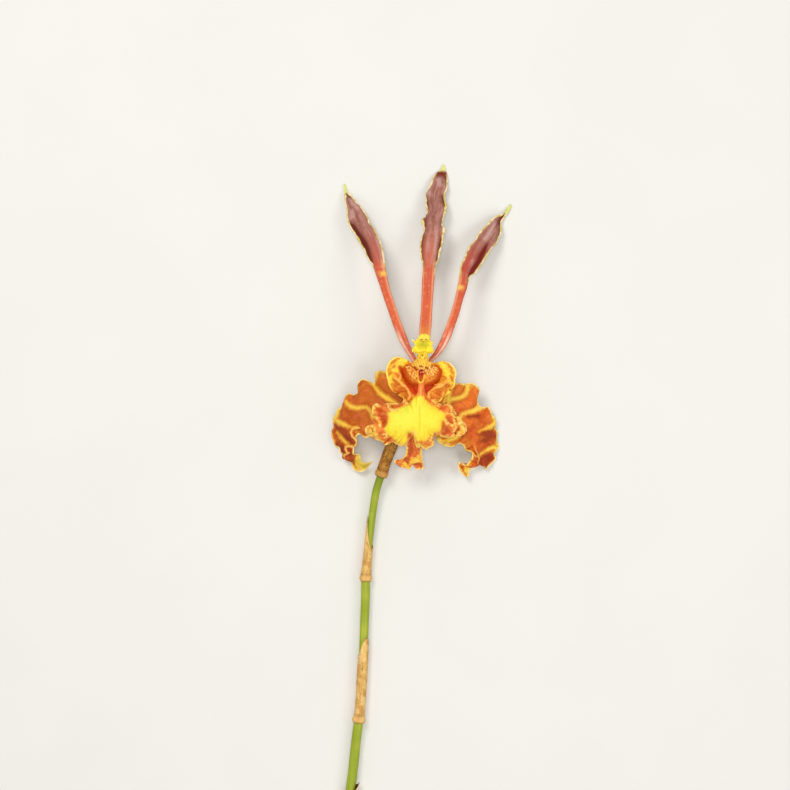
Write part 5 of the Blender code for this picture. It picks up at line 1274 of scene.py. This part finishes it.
rightEar = {
    "inner": [(4, 61.8, 23.2), (5.8, 61.4, 23), (7, 60.2, 22.9), (7.4, 58.6, 22.9), (6.8, 56.2, 22.9),
        (5.2, 54.2, 23), (3.2, 52.8, 23.2), (1.7, 51, 23.6), (1.3, 49.2, 23.8), (1.5, 47.6, 23.4)],
    "margin": [(8, 61.9, 24.2), (9.4, 62.7, 24.6), (11, 63, 24.6), (12.6, 62.5, 24.4), (14, 61.3, 24.2),
        (15.1, 59.8, 24), (15.9, 57.9, 23.8), (15.6, 56.6, 23.6), (15.3, 54.8, 23.2), (15.2, 53, 22.8),
        (14.8, 51.6, 22.6), (14, 50.8, 22.4), (13, 49.5, 22.2), (11.9, 48.2, 22), (10.6, 46.7, 21.8),
        (8.9, 45.4, 21.6), (6.9, 45, 21.8), (5, 45.6, 22.4), (3.4, 46.8, 22.8)],
    "folds": [[(12.8, 54.6, 0.15), (11.3, 53.8, 0.2), (10.1, 53, 0.3), (8.9, 52, 0.3), (6.3, 51.3, 0.3),
        (4.5, 49.9, 0.22), (3.3, 48.7, 0.25), (3.4, 47, 0.25), (3.8, 46.5, 0.1)], [(6.3, 52.5, 0.1),
        (7.3, 52.3, 0.25), (8.3, 52.5, 0.2), (9.3, 53.3, 0.1)], [(6.1, 46, 0.2), (6.7, 44, 0.3),
        (7.3, 43, 0.2)], [(9.9, 49.1, 0.2), (9.7, 47.6, 0.25)]],
    "gold": [[(9.1, 61.9, 0.7), (10.1, 60.4, 1), (11.1, 58.8, 1.2), (11.6, 57.3, 1), (11.8, 56.3, 0.5)],
        [(14.2, 51.7, 0.4), (14.4, 50.5, 0.4)], [(12.6, 54.1, 0.4), (13.2, 53.3, 0.3)]],
    "blotch": [[(11.6, 62.1, 0.25), (12.2, 61.4, 0.3), (12.5, 60.5, 0.4)], [(13.4, 59.8, 0.3),
        (13.2, 58.8, 0.35), (14.2, 57.5, 0.3)], [(13.2, 56.3, 0.4), (13.4, 55.3, 0.4), (14.2, 54.3, 0.3)],
        [(10.3, 56.1, 0.5), (10.9, 55.7, 0.5), (9.9, 54.9, 0.5)], [(10.9, 52.9, 0.4), (11.1, 51.9, 0.4)],
        [(12.2, 52.5, 0.4), (12.6, 52.1, 0.3)], [(7.9, 50.1, 0.7), (7.1, 48.9, 1), (7.9, 48.1, 0.8),
        (9.3, 50.5, 0.5)], [(10.7, 50.5, 0.3), (10.9, 49.7, 0.3)], [(5.1, 46.8, 0.6), (6.1, 46.6, 0.5),
        (8.1, 46, 0.6), (8.7, 44.4, 0.6)], [(4.1, 45.8, 0.4), (4.6, 45, 0.4)]],
    "dark": [[(12.7, 50.4, 0.25), (12.9, 50.1, 0.3)], [(10.9, 48, 0.3), (11.2, 47.6, 0.3)],
        [(8.2, 46.2, 0.3), (8.3, 45.8, 0.3)]],
    "valley": [[(8.5, 58.8, 0.3), (8.1, 56.7, 0.5), (7.1, 54.9, 0.7), (5.6, 53.1, 0.8), (4.1, 51.7, 1.2),
        (2.3, 50.5, 1.3)]],
    "seed": 91,
}
ear = palette(
    gold=(250, 188, 52), bright=(255, 222, 66), orange=(228, 130, 34), blotch=(200, 94, 20),
    deep=(186, 58, 4), low=(200, 56, 4), rim=(254, 222, 96), fold=(248, 156, 64), crest=(252, 186, 92),
    dark=(130, 56, 10), back=(228, 188, 74), cream=(250, 220, 150),
)


def earLook():
    g = Graph("earSkin")
    side, edge, front = g.read("side", "edge", "front")
    fold, gold, blotch, valley, dark = g.read("folds", "gold", "blotch", "valley", "dark")
    small, large = g.noise(1, 3), g.noise(2.1, 2)
    up, across = g.axis("Y"), g.axis("X")
    lower = up.ease(56, 51)  # the lower half is mostly orange
    golden = g.mix(small.ease(0.44, 0.66), ear["bright"], ear["gold"])
    colour = g.coat(ear["gold"], [
        (large.ease(0.44, 0.64) * (0.6 + lower * 0.4), ear["orange"]),
        (lower * 0.6, ear["orange"]),
        (g.noise(1.5, 2).ease(0.5, 0.64) * 0.5, ear["blotch"]),
        (lower * small.ease(0.44, 0.66) * 0.7, ear["blotch"]),
        (gold.stir(small, 1.2).ease(0.9, -0.4), golden),
        (blotch.stir(small, 1).ease(0.7, -0.4) * 0.8, ear["blotch"]),
    ])
    # painted shade: deep red orange in the valley beside the callus and along the ear's inner edge
    hollow = g.mix(up.ease(54, 50), ear["deep"], ear["low"])
    colour = g.coat(colour, [
        (valley.stir(small, 0.9).ease(1.6, 0) * 0.95, hollow),
        (side.stir(small, 0.2).ease(-0.5, -0.82) * 0.8, hollow),
        # painted shade at small gaps along the lower margin
        (dark.stir(small, 0.4).ease(0.25, -0.15), ear["dark"]),
        (fold.stir(small, 0.4).ease(0.45, -0.2) * 0.55, ear["fold"]),
        (fold.stir(small, 0.3).ease(0.04, -0.14) * 0.7, ear["crest"]),
    ])
    frilly = edge.stir(large, 2).ease(2.2, 0.7) * lower * large.ease(0.44, 0.56)
    colour = g.mix(frilly * across.ease(-2, 2).ease(-0.7, 1) * 0.85, colour, ear["bright"])
    reach = edge.stir(small, 0.6)
    rim = g.mix(across.ease(0, 6) * small.ease(0.3, 0.6) * up.ease(51, 54), ear["rim"], ear["cream"])
    rim = g.mix(across.ease(3, 8) * up.ease(53, 50) * 0.75, rim, ear["gold"])
    broken = up.ease(55.5, 51.5) * (1 - g.noise(1.3, 1).ease(0.46, 0.56) * 0.8)
    colour = g.mix(reach.ease(1, 0.42) * (1 - broken), colour, rim)
    colour = g.mix(1 - front, colour, g.mix(large.ease(0.45, 0.6), ear["back"], ear["orange"]))
    relief = small + g.noise(0.4, 2) * 0.4
    return g.finish(colour, 0.42 + small * 0.14, relief, 0.16, Specular_IOR_Level=0.22)


def makeEar(name, shape, material):
    rows, columns = 180, 66
    inner, margin = evenly(shape["inner"], rows), evenly(shape["margin"], rows)
    v, grid, fromEdge = ruled(inner, margin, columns)
    arc = lengthAlong(margin)[:, None]
    share = np.linspace(0, 1, rows)[:, None]
    # from the callus the ear dips, rises in a broad crest, then rolls down to its margin
    crest = 1.5 * np.sin(np.pi * v**1.1) ** 1.4 - 1.0 * bell(v - 0.12, 0.13)
    crest = crest * np.sin(np.pi * np.clip(share * 0.94 + 0.05, 0, 1)) ** 0.5
    grid[..., 2] += crest
    sheet = Sheet(grid)
    seed = shape["seed"]
    low = step(share, 0.5, 0.75)
    lift = (0.25 + 0.75 * low) * wobble(arc, 5.2, seed) * bell(fromEdge, 2.4, 1.5)
    lift += (0.12 + 0.4 * low) * wobble(arc, 1.9, seed + 1) * bell(fromEdge, 1.1, 1.5)
    lift += 0.16 * wobble(arc + 2.0 * v, 2.1, seed + 3) * np.sin(np.pi * v)
    away = {key: strokes(grid, shape[key]).clip(0) for key in ("folds", "blotch", "valley")}
    lift += 0.75 * bell(away["folds"], 0.42) - 0.25 * bell(away["blotch"], 0.6)
    lift -= 0.6 * bell(away["valley"], 0.9)
    sheet.push(lift)
    home = margin - sheet.grid[:, -1:].reshape(rows, 3)
    home[:, 2] = 0
    sheet.grid += home[:, None] * bell(fromEdge, 1.6, 1.5)[..., None]
    outward = unit((margin - inner) * [1, 1, 0])[:, None]
    teeth = 0.1 * ragged(arc, 0.85, seed + 2) + 0.65 * low * ragged(arc, 1.3, seed + 4)
    sheet.grid += outward * (teeth * np.exp(-fromEdge / 0.8))[..., None]
    sheet.values = {"side": 2 * v - 1, "edge": fromEdge}
    sheet.mark(shape, "folds", "gold", "blotch", "valley", "dark")
    thickness = 0.2 + 0.6 * step(fromEdge, 0, 1.6) + 0.14 * bell(fromEdge - 0.3, 0.25)
    dress(sheet.build(name, thickness, material), "yellow_lip", "lip")


callus = {
    "centre": (0.3, 57.6),
    "outline": [(0.6, 65.4), (2.2, 65.2), (3.1, 64.4), (3.4, 63.4), (4.4, 62.7), (6.8, 62.1), (8.5, 60.8),
        (9.2, 58.8), (8.4, 55.7), (5.9, 53.2), (3.4, 52.4), (1.6, 51.6), (0.2, 51.2), (-1.2, 51.6),
        (-2.8, 52.4), (-4.8, 53), (-7, 55.6), (-8.1, 58.8), (-7.7, 61), (-6.4, 62.6), (-3.9, 62.2),
        (-2.9, 63), (-2, 64.2), (-0.9, 65.2)],
    "floor": 22.6, "rise": 3.7,
    "slot": [[(0.1, 58.6, 0.95), (0, 57.7, 1.15), (-0.1, 56.4, 1), (-0.15, 55.3, 0.85), (-0.2, 54.5, 0.45)]],
    "lips": [[(-1.6, 57.6, 0.08), (-1.5, 56.5, 0.1), (-1.4, 55.1, 0.14), (-1, 53.8, 0.2), (-0.3, 53.3, 0.2),
        (0.7, 54, 0.2), (1.2, 55.4, 0.14), (1.4, 57, 0.08)]],
    "nub": [[(-0.1, 58.2, 0.16), (-0.3, 57.9, 0.16)]],
    "paleNub": [[(0.8, 58.4, 0.06), (0.9, 58, 0.06)], [(-1, 59.4, 0.04), (0, 59.9, 0.06),
        (1.1, 59.5, 0.04)]],
    "pits": [[(-3.3, 60.5, 0.4), (-2.7, 59.9, 0.5), (-2.2, 59.1, 0.4)], [(-1.3, 60.5, 0.2),
        (-0.2, 60.7, 0.3), (0.8, 60.4, 0.25)], [(1.8, 60.3, 0.42), (2.8, 59.8, 0.42), (3.6, 59.3, 0.3)],
        [(1.9, 57.7, 0.2), (2, 57.6, 0.2)]],
    "beads": [[(-6.7, 60.5, 0.16), (-6.2, 60.2, 0.22)], [(-5.9, 61.7, 0.1), (-5.5, 61.3, 0.1)],
        [(-5.2, 60.8, 0.12), (-4.9, 60.4, 0.12)], [(-5.2, 57.8, 0.14), (-4.8, 57.2, 0.16)],
        [(-3.5, 57.7, 0.12), (-3.4, 57.2, 0.12)], [(-4, 56.7, 0.1), (-3.7, 56.3, 0.1)], [(-3.2, 55.9, 0.12),
        (-2.9, 55.5, 0.14)], [(-5.9, 59, 0.08), (-5, 58.9, 0.1)], [(-2.6, 57.3, 0.1), (-2.3, 56.4, 0.08)],
        [(-1.5, 61.4, 0.2), (-1, 60, 0.12)], [(1.6, 61.2, 0.2), (1.2, 60, 0.12)], [(-4.2, 62.1, 0.12),
        (-3.6, 60.6, 0.16)], [(3.9, 62, 0.16), (3.8, 60.4, 0.2), (3.2, 58.6, 0.12)]],
    **palette(
        orange=(242, 158, 58), ridge=(255, 214, 112), deep=(216, 102, 24), slotRed=(176, 36, 4),
        slotLow=(196, 88, 18), pink=(236, 120, 84), pit=(150, 46, 4), yellow=(254, 218, 72),
        band=(200, 72, 10), white=(252, 204, 150),
    ),
}


def callusLook():
    g = Graph("callusSkin")
    slot, lips, nub, paleNub, pit, bead = g.read("slot", "lips", "nub", "paleNub", "pits", "beads")
    ring, fan, up = g.value("ring"), g.value("fan"), g.axis("Y")
    small = g.noise(0.9, 3)
    grain = g.noise(0.5, 2)
    colour = g.mix(small.ease(0.4, 0.66), callus["orange"], callus["deep"])
    # painted shade: a dark red brown ring round the callus's edge, below the column
    shadowRing = ring.stir(small, 0.1).ease(0.62, 0.9) * up.ease(63, 61)
    colour = g.mix(shadowRing * 0.9, colour, callus["band"])
    collar = g.coat(callus["yellow"], [
        (grain.ease(0.5, 0.64) * 0.8, callus["orange"]),
        (grain.ease(0.62, 0.72) * 0.6, callus["deep"]),
        (grain.ease(0.46, 0.38) * 0.7, callus["ridge"]),
    ])
    colour = g.coat(colour, [
        ((up.stir(small, 1.6) - abs(g.axis("X") - 0.5) * 0.6).ease(58.4, 59.6) * 0.9, collar),
        (fan.stir(grain, 0.5).ease(0.4, 0.95) * 0.85, callus["ridge"]),
        (pit.stir(small, 0.3).ease(0.3, -0.1) * 0.85, callus["pit"]),
        (bead.stir(small, 0.3).ease(0.2, -0.1), callus["ridge"]),
    ])
    inSlot = g.mix(up.ease(57.6, 55), callus["slotRed"], callus["slotLow"])
    colour = g.coat(colour, [
        (slot.ease(0.25, -0.15), inSlot),
        (lips.stir(small, 0.3).ease(0.25, -0.12) * 0.75, callus["yellow"]),
        (nub.ease(0.15, -0.1), callus["pink"]),
        (paleNub.ease(0.15, -0.1), callus["white"]),
    ])
    return g.finish(colour, 0.36 + small * 0.14, small * 0.7 + grain, 0.3)


def makeCallus(material):  # the ridged swelling at the lip's root, with its slot
    s, flat = disc(callus["outline"], np.array(callus["centre"]), 80, 300, 0.008)
    x, y = flat[..., 0], flat[..., 1]
    dome = callus["rise"] * (1 - s**2.8) * np.ones_like(x)
    dome -= 0.5 * step(y, 59.5, 61.5)
    # tissue climbs from the top of the callus onto the column's foot
    dome += 1.9 * step(y, 61.6, 64.6) * bell(x - 0.6, 2.9, 4)
    crumpled = 0.28 * wobble(x * 1.7 + 0.6 * y, 1.3, 105) + 0.24 * wobble(y * 2 - x, 1.1, 106)
    dome += crumpled * step(y, 59.6, 61)
    # two rounded cheeks with thin ridges that fan out from below the column
    cheeks = 0.5 * np.exp(-(((np.abs(x - 0.3) - 4.2) / 2.6) ** 2) - ((y - 57.4) / 3.2) ** 2)
    hub = np.where(x < 0.2, -1.8, 3.1)
    turn, far = np.arctan2(y - 62.1, x - hub), np.hypot(x - hub, y - 62.1)
    count = 27 * turn + 1.1 * wobble(far, 2.0, 101) + 0.8 * wobble(turn * 5, 2.2, 102)
    fan = ((np.cos(count) - 0.2) / 0.8).clip(0)
    fan = fan * step(far, 2.0, 2.7) * (1 - step(far + 0.7 * wobble(turn * 6, 1.1, 103), 4.9, 5.9))
    fan = fan * np.where(x < 0, 0.45 + 0.5 * step(wobble(4 * turn + far, 1.3, 107), 0.0, 0.8), 1.0)
    fan = fan * step(np.abs(x - 0.1), 1.4, 2.0) * (1 - step(s, 0.8, 0.95))
    fan = fan * (0.55 + 0.45 * step(wobble(far + 1.7 * turn, 1.6, 104), -0.9, 0.3))
    away = {key: strokes(flat, callus[key]) for key in ("slot", "lips", "nub", "paleNub", "pits", "beads")}
    bump = {key: bell(value.clip(0), 0.3) for key, value in away.items()}
    z = callus["floor"] + dome + cheeks + 0.4 * fan + 0.3 * bump["beads"] + 0.3 * bump["lips"]
    z += 1.0 * bump["nub"] + 0.8 * bump["paleNub"] - 1.3 * bump["slot"] - 0.5 * bump["pits"]
    sheet = Sheet(np.stack([x, y, z], -1), loop=True)
    sheet.values = {"fan": fan, "ring": s, **away}
    dress(sheet.build("lipCallus", 0.5, material, centre=True), "yellow_lip", "lip")


lipMaterial, earMaterial = lipLook(), earLook()
makeFlaps(makeLipLobe(lipMaterial), lipMaterial)
makeTongue(tongueLook())
makeEar("leftEar", leftEar, earMaterial)
makeEar("rightEar", rightEar, earMaterial)
makeCallus(callusLook())


# rings: centre, half width, half depth
column = {
    "rings": [(0.4, 63.8, 17.9, 2.2, 1.9), (0.4, 63.9, 20.4, 2.4, 1.8), (0.5, 64.8, 23, 2.5, 1.9),
        (0.6, 66.2, 25.2, 2.4, 2), (0.8, 68.6, 26.6, 3.1, 1.6), (1, 71.2, 27.2, 2.9, 1.3),
        (1.1, 73.3, 28.3, 2.3, 1.2)],
    "wingInner": [(-2.5, 71.7, 28.3), (-2.4, 70.6, 28.4), (-2.3, 69.6, 28.4), (-1.6, 68.8, 28.4),
        (-0.6, 68.4, 28.3), (0.75, 68.2, 28.2), (2.1, 68.4, 28.3), (3.1, 68.8, 28.4), (3.8, 69.6, 28.4),
        (3.8, 70.6, 28.4), (3.5, 71.7, 28.3)],
    "wingOuter": [(-4.3, 73.1, 29), (-3.8, 71.9, 28.8), (-2.9, 70.9, 28.6), (-2.8, 70, 28.6),
        (-3.9, 69.4, 28.5), (-4.3, 68.6, 28.3), (-4.2, 67.4, 27.8), (-3.4, 66.8, 27.6), (-2, 66.5, 27.3),
        (-0.7, 66.7, 27.1), (0.5, 66.6, 27), (1.7, 66.9, 27.1), (3.5, 66.5, 27.3), (5.4, 66.8, 27.6),
        (5.7, 67.8, 28), (5.1, 68.3, 28.2), (5.4, 68.8, 28.3), (4.8, 69.5, 28.5), (4.5, 70.1, 28.6),
        (5.4, 70.2, 28.7), (4.6, 70.8, 28.7), (6, 71.2, 29)],
    "hood": [(0.8, 73.4), (3.4, 73), (4.2, 71.6), (4.1, 70.2), (3.2, 69), (2, 68.4), (0.8, 68.1),
        (-0.4, 68.4), (-1.6, 69), (-2.5, 70.2), (-2.6, 71.6), (-1.8, 73)],
    "marks": [[(0.5, 65.9, 0.25), (0.6, 65.4, 0.3)], [(-0.4, 66.1, 0.12), (-0.5, 64.4, 0.2)],
        [(1.5, 64.9, 0.2), (1.7, 64, 0.2)]],
    **palette(
        yellow=(246, 200, 44), bright=(255, 232, 52), olive=(182, 176, 30), speckle=(140, 84, 6),
        orange=(226, 150, 52), tooth=(246, 236, 160), pale=(254, 232, 120), pit=(176, 100, 10),
    ),
}


def columnLook():
    g = Graph("columnSkin")
    edge, olive, pit, mark = g.read("edge", "olive", "pit", "mark")
    small = g.noise(0.8, 3)
    colour = g.coat(column["bright"], [
        (small.ease(0.4, 0.65), column["yellow"]),
        (mark.ease(0.25, -0.1) * 0.8, column["orange"]),
        (olive.stir(small, 0.3).ease(0.05, 1) * 0.9, column["olive"]),
    ])
    low = g.axis("Y").ease(67, 65.4)
    colour = g.mix(low * small.ease(0.5, 0.66) * 0.5, colour, column["orange"])
    colour = g.mix(low * small.ease(0.48, 0.36) * 0.6, colour, column["pale"])
    specks = g.noise(0.55, 2).ease(0.6, 0.68)
    colour = g.coat(colour, [
        (specks * (low * 0.6 + 0.1), column["speckle"]),
        # darker orange in the hollow on the column's face, and painted shadow at the two pits under the
        # anther cap
        (pit.ease(0.7, 0.25) * 0.8, column["pit"]),
        (edge.ease(1, 0.3) * small.ease(0.5, 0.6) * 0.7, column["orange"]),
        (edge.ease(0.45, 0.1) * 0.6, column["tooth"]),
        (g.axis("X").ease(-3, -4) * g.axis("Y").ease(71.4, 72.2), column["tooth"]),
    ])
    return g.finish(colour, 0.36 + small * 0.14, small + g.noise(0.3, 2) * 0.4, 0.12)


def greenish(grid):  # where the column turns green
    return np.exp(-(((grid[..., 0] - 0.7) / 2.9) ** 2) - ((grid[..., 1] - 70.6) / 2.0) ** 2)


def makeColumnBody(material):
    rows, columns = 100, 72
    rings = evenly(column["rings"], rows)
    ahead = unit(np.gradient(rings[:, :3], axis=0))
    face = unit(np.cross([1.0, 0.0, 0.0], ahead))
    turn = around(columns)
    bend = 1 + 0.03 * wobble(turn * 2.5, 2.2, 111) * np.ones((rows, 1))
    x = rings[:, 3:4] * np.cos(turn) * bend
    z = rings[:, 4:5] * np.sin(turn) * bend
    grid = rings[:, None, :3] + x[..., None] * [1.0, 0.0, 0.0] + z[..., None] * face[:, None]
    hollow = np.hypot(grid[..., 0] - 0.5, (grid[..., 1] - 65.7))
    onFace = step(np.sin(turn), 0.1, 0.5) * np.ones((rows, 1))
    grid[..., 2] -= 0.8 * onFace * bell(hollow, 0.75)
    mark = strokes(grid, column["marks"]) + 4 * (1 - onFace)
    values = {"edge": 5.0, "olive": 0.0, "pit": hollow + 4 * (1 - onFace), "mark": mark}
    dress(loft("columnBody", grid, material, values), "column", "column")


def makeColumnWings(material):
    rows, columns = 220, 28
    inner, outer = evenly(column["wingInner"], rows), evenly(column["wingOuter"], rows)
    v, grid, fromEdge = ruled(inner, outer, columns)
    arc = lengthAlong(outer)[:, None]
    share = np.linspace(0, 1, rows)[:, None]
    low = bell(share - 0.5, 0.2)
    grid[..., 2] += (0.25 + 0.7 * low) * np.sin(np.pi * v**0.8) + 0.22 * wobble(arc, 2.2, 112) * v
    sheet = Sheet(grid)
    outward = unit((outer - inner) * [1, 1, 0.2])[:, None]
    teeth = (0.3 * (1 - low) + 0.16) * ragged(arc, 0.55, 113) * np.exp(-fromEdge / 0.55)
    sheet.grid += outward * teeth[..., None]
    sheet.values = {"edge": fromEdge, "olive": greenish(sheet.grid), "pit": 5.0, "mark": 5.0}
    dress(sheet.build("columnWings", 0.16 + 0.34 * step(fromEdge, 0, 0.9), material), "column", "column")


def makeColumnHood(material):
    s, flat = disc(column["hood"], np.array([0.8, 70.8]), 36, 120, 0.01)
    z = 28.3 + 1.1 * (1 - s**2.4) + 1.3 * step(flat[..., 1], 71.6, 73.3) * step(s, 0.2, 0.9)
    z -= 0.3 * bell(flat[..., 0] - 0.8, 0.3) * step(flat[..., 1], 68.8, 70)
    # two small pits under the cap's front edge, which the shader paints dark as shadow of the gap under the
    # cap
    pits = np.minimum(*(np.hypot((flat[..., 0] - px) * 0.7, flat[..., 1] - 72.3) for px in (0.1, 2.0)))
    z -= 0.5 * bell(pits, 0.35)
    sheet = Sheet(np.stack([flat[..., 0], flat[..., 1], z], -1), loop=True)
    sheet.values = {"edge": 5.0, "olive": greenish(sheet.grid), "pit": pits, "mark": 5.0}
    dress(sheet.build("columnHood", 0.5, material, centre=True), "column", "column")


anther = {
    "centre": (1.25, 73.7, 29.4), "half": (2.55, 1.4, 1.6), "tilt": -8, "wall": 0.36,
    **palette(yellow=(252, 214, 58), pale=(255, 228, 92), mark=(214, 150, 40), spot=(126, 88, 4)),
}


def makeAnther():  # the pale cap
    g = Graph("antherSkin")
    small, cleft = g.noise(0.7, 3), g.value("cleft")
    colour = g.coat(anther["yellow"], [
        (small.ease(0.4, 0.62), anther["pale"]),
        (cleft.ease(0.5, 0.1) * 0.15, anther["mark"]),
        (g.noise(0.6, 2).ease(0.56, 0.68) * 0.3, anther["mark"]),
        # painted shadow: two dark marks low on the cap's front, over the gap beneath it
        (g.value("spots").ease(0.42, 0.12) * 0.9, anther["spot"]),
    ])
    material = g.finish(colour, 0.32 + small * 0.12, small + g.noise(0.25, 2) * 0.4, 0.1)
    rings, columns = 44, 120
    tip = np.linspace(0.012, 0.5, rings)[:, None] * np.pi
    turn = around(columns)
    wide, deep, tall = anther["half"]
    squared = np.sign(np.sin(turn)) * np.abs(np.sin(turn)) ** 0.75  # a flatter top
    x, y, z = np.sin(tip) * np.cos(turn), np.sin(tip) * squared, np.cos(tip) + 0 * turn
    cleft = bell(x * wide, 0.42)
    swell = 1 - 0.07 * cleft * (0.4 + 0.6 * z) + 0.05 * wobble(turn * 2, 2.4, 121) * np.sin(tip)
    x = x * (1 - 0.3 * np.sin(tip) * np.sin(turn))  # narrower toward the column's tip
    beak = 1 + 0.25 * bell(turn - 1.5 * np.pi, 0.45) * np.sin(tip) ** 3  # small front lip
    points = np.stack([x * wide * swell, y * deep * swell * beak, z * tall * swell], -1)
    tilt = math.radians(anther["tilt"])
    turned = np.stack([
        points[..., 0],
        points[..., 1] * math.cos(tilt) - points[..., 2] * math.sin(tilt),
        points[..., 1] * math.sin(tilt) + points[..., 2] * math.cos(tilt),
    ], -1)
    sheet = Sheet(turned + np.array(anther["centre"]), loop=True, facing=turned)
    # two marks low on the cap's front, painted dark as shadow of the gap under the cap
    spots = [np.hypot((sheet.grid[..., 0] - px) * 0.6, sheet.grid[..., 1] - 72.75) for px in (0.2, 2.1)]
    sheet.values = {"cleft": np.abs(x * wide), "spots": np.minimum(*spots)}
    dress(sheet.build("antherCap", anther["wall"], material, centre=True), "anther", "anther_cap")


pollen = {"centre": (1.2, 74, 29.95), **palette(gold=(240, 176, 52), amber=(214, 132, 36))}


def makePollen():
    g = Graph("pollenWax")
    small = g.noise(0.35, 3)
    colour = g.mix(small.ease(0.42, 0.6), pollen["gold"], pollen["amber"])
    material = g.finish(colour, 0.3 + small * 0.1, small, 0.06)
    centre = np.array(pollen["centre"])
    for name, shift, half in (
        ("pollenMassLeft", (-0.42, 0.0, 0.0), (0.38, 0.42, 0.36)),
        ("pollenMassRight", (0.42, 0.0, 0.0), (0.38, 0.42, 0.36)),
        ("pollenStalk", (0.0, -0.45, -0.1), (0.16, 0.4, 0.12)),
    ):
        rows, columns = 30, 40
        tip = np.linspace(0.03, 0.97, rows)[:, None] * np.pi
        turn = around(columns)
        ball = np.stack([np.sin(tip) * np.cos(turn), np.sin(tip) * np.sin(turn), np.cos(tip) + 0 * turn], -1)
        ball *= 1 - 0.1 * bell(ball[..., :1], 0.2)
        grid = centre + shift + ball * half
        dress(loft(name, grid, material, {}), "pollen", "pollinarium")


columnMaterial = columnLook()
makeColumnBody(columnMaterial)
makeColumnWings(columnMaterial)
makeColumnHood(columnMaterial)
makeAnther()
makePollen()


# lamps: place, size, power in watts, colour
studio = {
    "world": 0.42,
    "lamps": [((-380, 560, 940), 460, 5, (1, 0.985, 0.96)), ((-40, 70, 1400), 280, 4.8, (1, 0.99, 0.975)),
        ((640, 60, 700), 420, 1.7, (0.97, 0.985, 1)), ((60, -640, 700), 420, 1.4, (1, 0.99, 0.97))],
    "aim": (-5, 40, 0), "camera": (-11.7, 48, 1215), "lens": 121.52, "sensor": 36,
    **palette(floor=(228, 226, 220), shade=(214, 212, 206)),
}


def makeStudio():
    scene = bpy.context.scene
    g = Graph("floorPaper")
    colour = g.mix(g.noise(60, 2).ease(0.3, 0.7) * 0.12, studio["floor"], studio["shade"])
    paper = g.finish(colour, 0.85, g.noise(2, 3), 0.05)
    far = 2600 * mm
    mesh = bpy.data.meshes.new("floor")
    mesh.from_pydata([(-far, -far, 0), (far, -far, 0), (far, far, 0), (-far, far, 0)], [], [(0, 1, 2, 3)])
    mesh.materials.append(paper)
    floor = bpy.data.objects.new("floor", mesh)
    scene.collection.objects.link(floor)
    for number, (place, size, power, colour) in enumerate(studio["lamps"]):
        lamp = bpy.data.lights.new(f"softbox{number}", "AREA")
        lamp.shape, lamp.size, lamp.energy, lamp.color = "DISK", size * mm, power, colour
        holder = bpy.data.objects.new(f"softbox{number}", lamp)
        holder.location = Vector(place) * mm
        ahead = Vector(studio["aim"]) * mm - holder.location
        holder.rotation_euler = ahead.to_track_quat("-Z", "Y").to_euler()
        scene.collection.objects.link(holder)
    world = bpy.data.worlds.new("studio")
    world.use_nodes = True
    sky = world.node_tree.nodes["Background"].inputs
    sky["Color"].default_value, sky["Strength"].default_value = (1, 1, 1, 1), studio["world"]
    scene.world = world
    lens = bpy.data.cameras.new("camera")
    lens.lens, lens.sensor_width = studio["lens"], studio["sensor"]
    lens.clip_start, lens.clip_end = 0.01, 20
    camera = bpy.data.objects.new("camera", lens)
    camera.location = Vector(studio["camera"]) * mm
    scene.collection.objects.link(camera)
    scene.camera = camera
    scene.view_settings.view_transform = "Standard"


makeStudio()
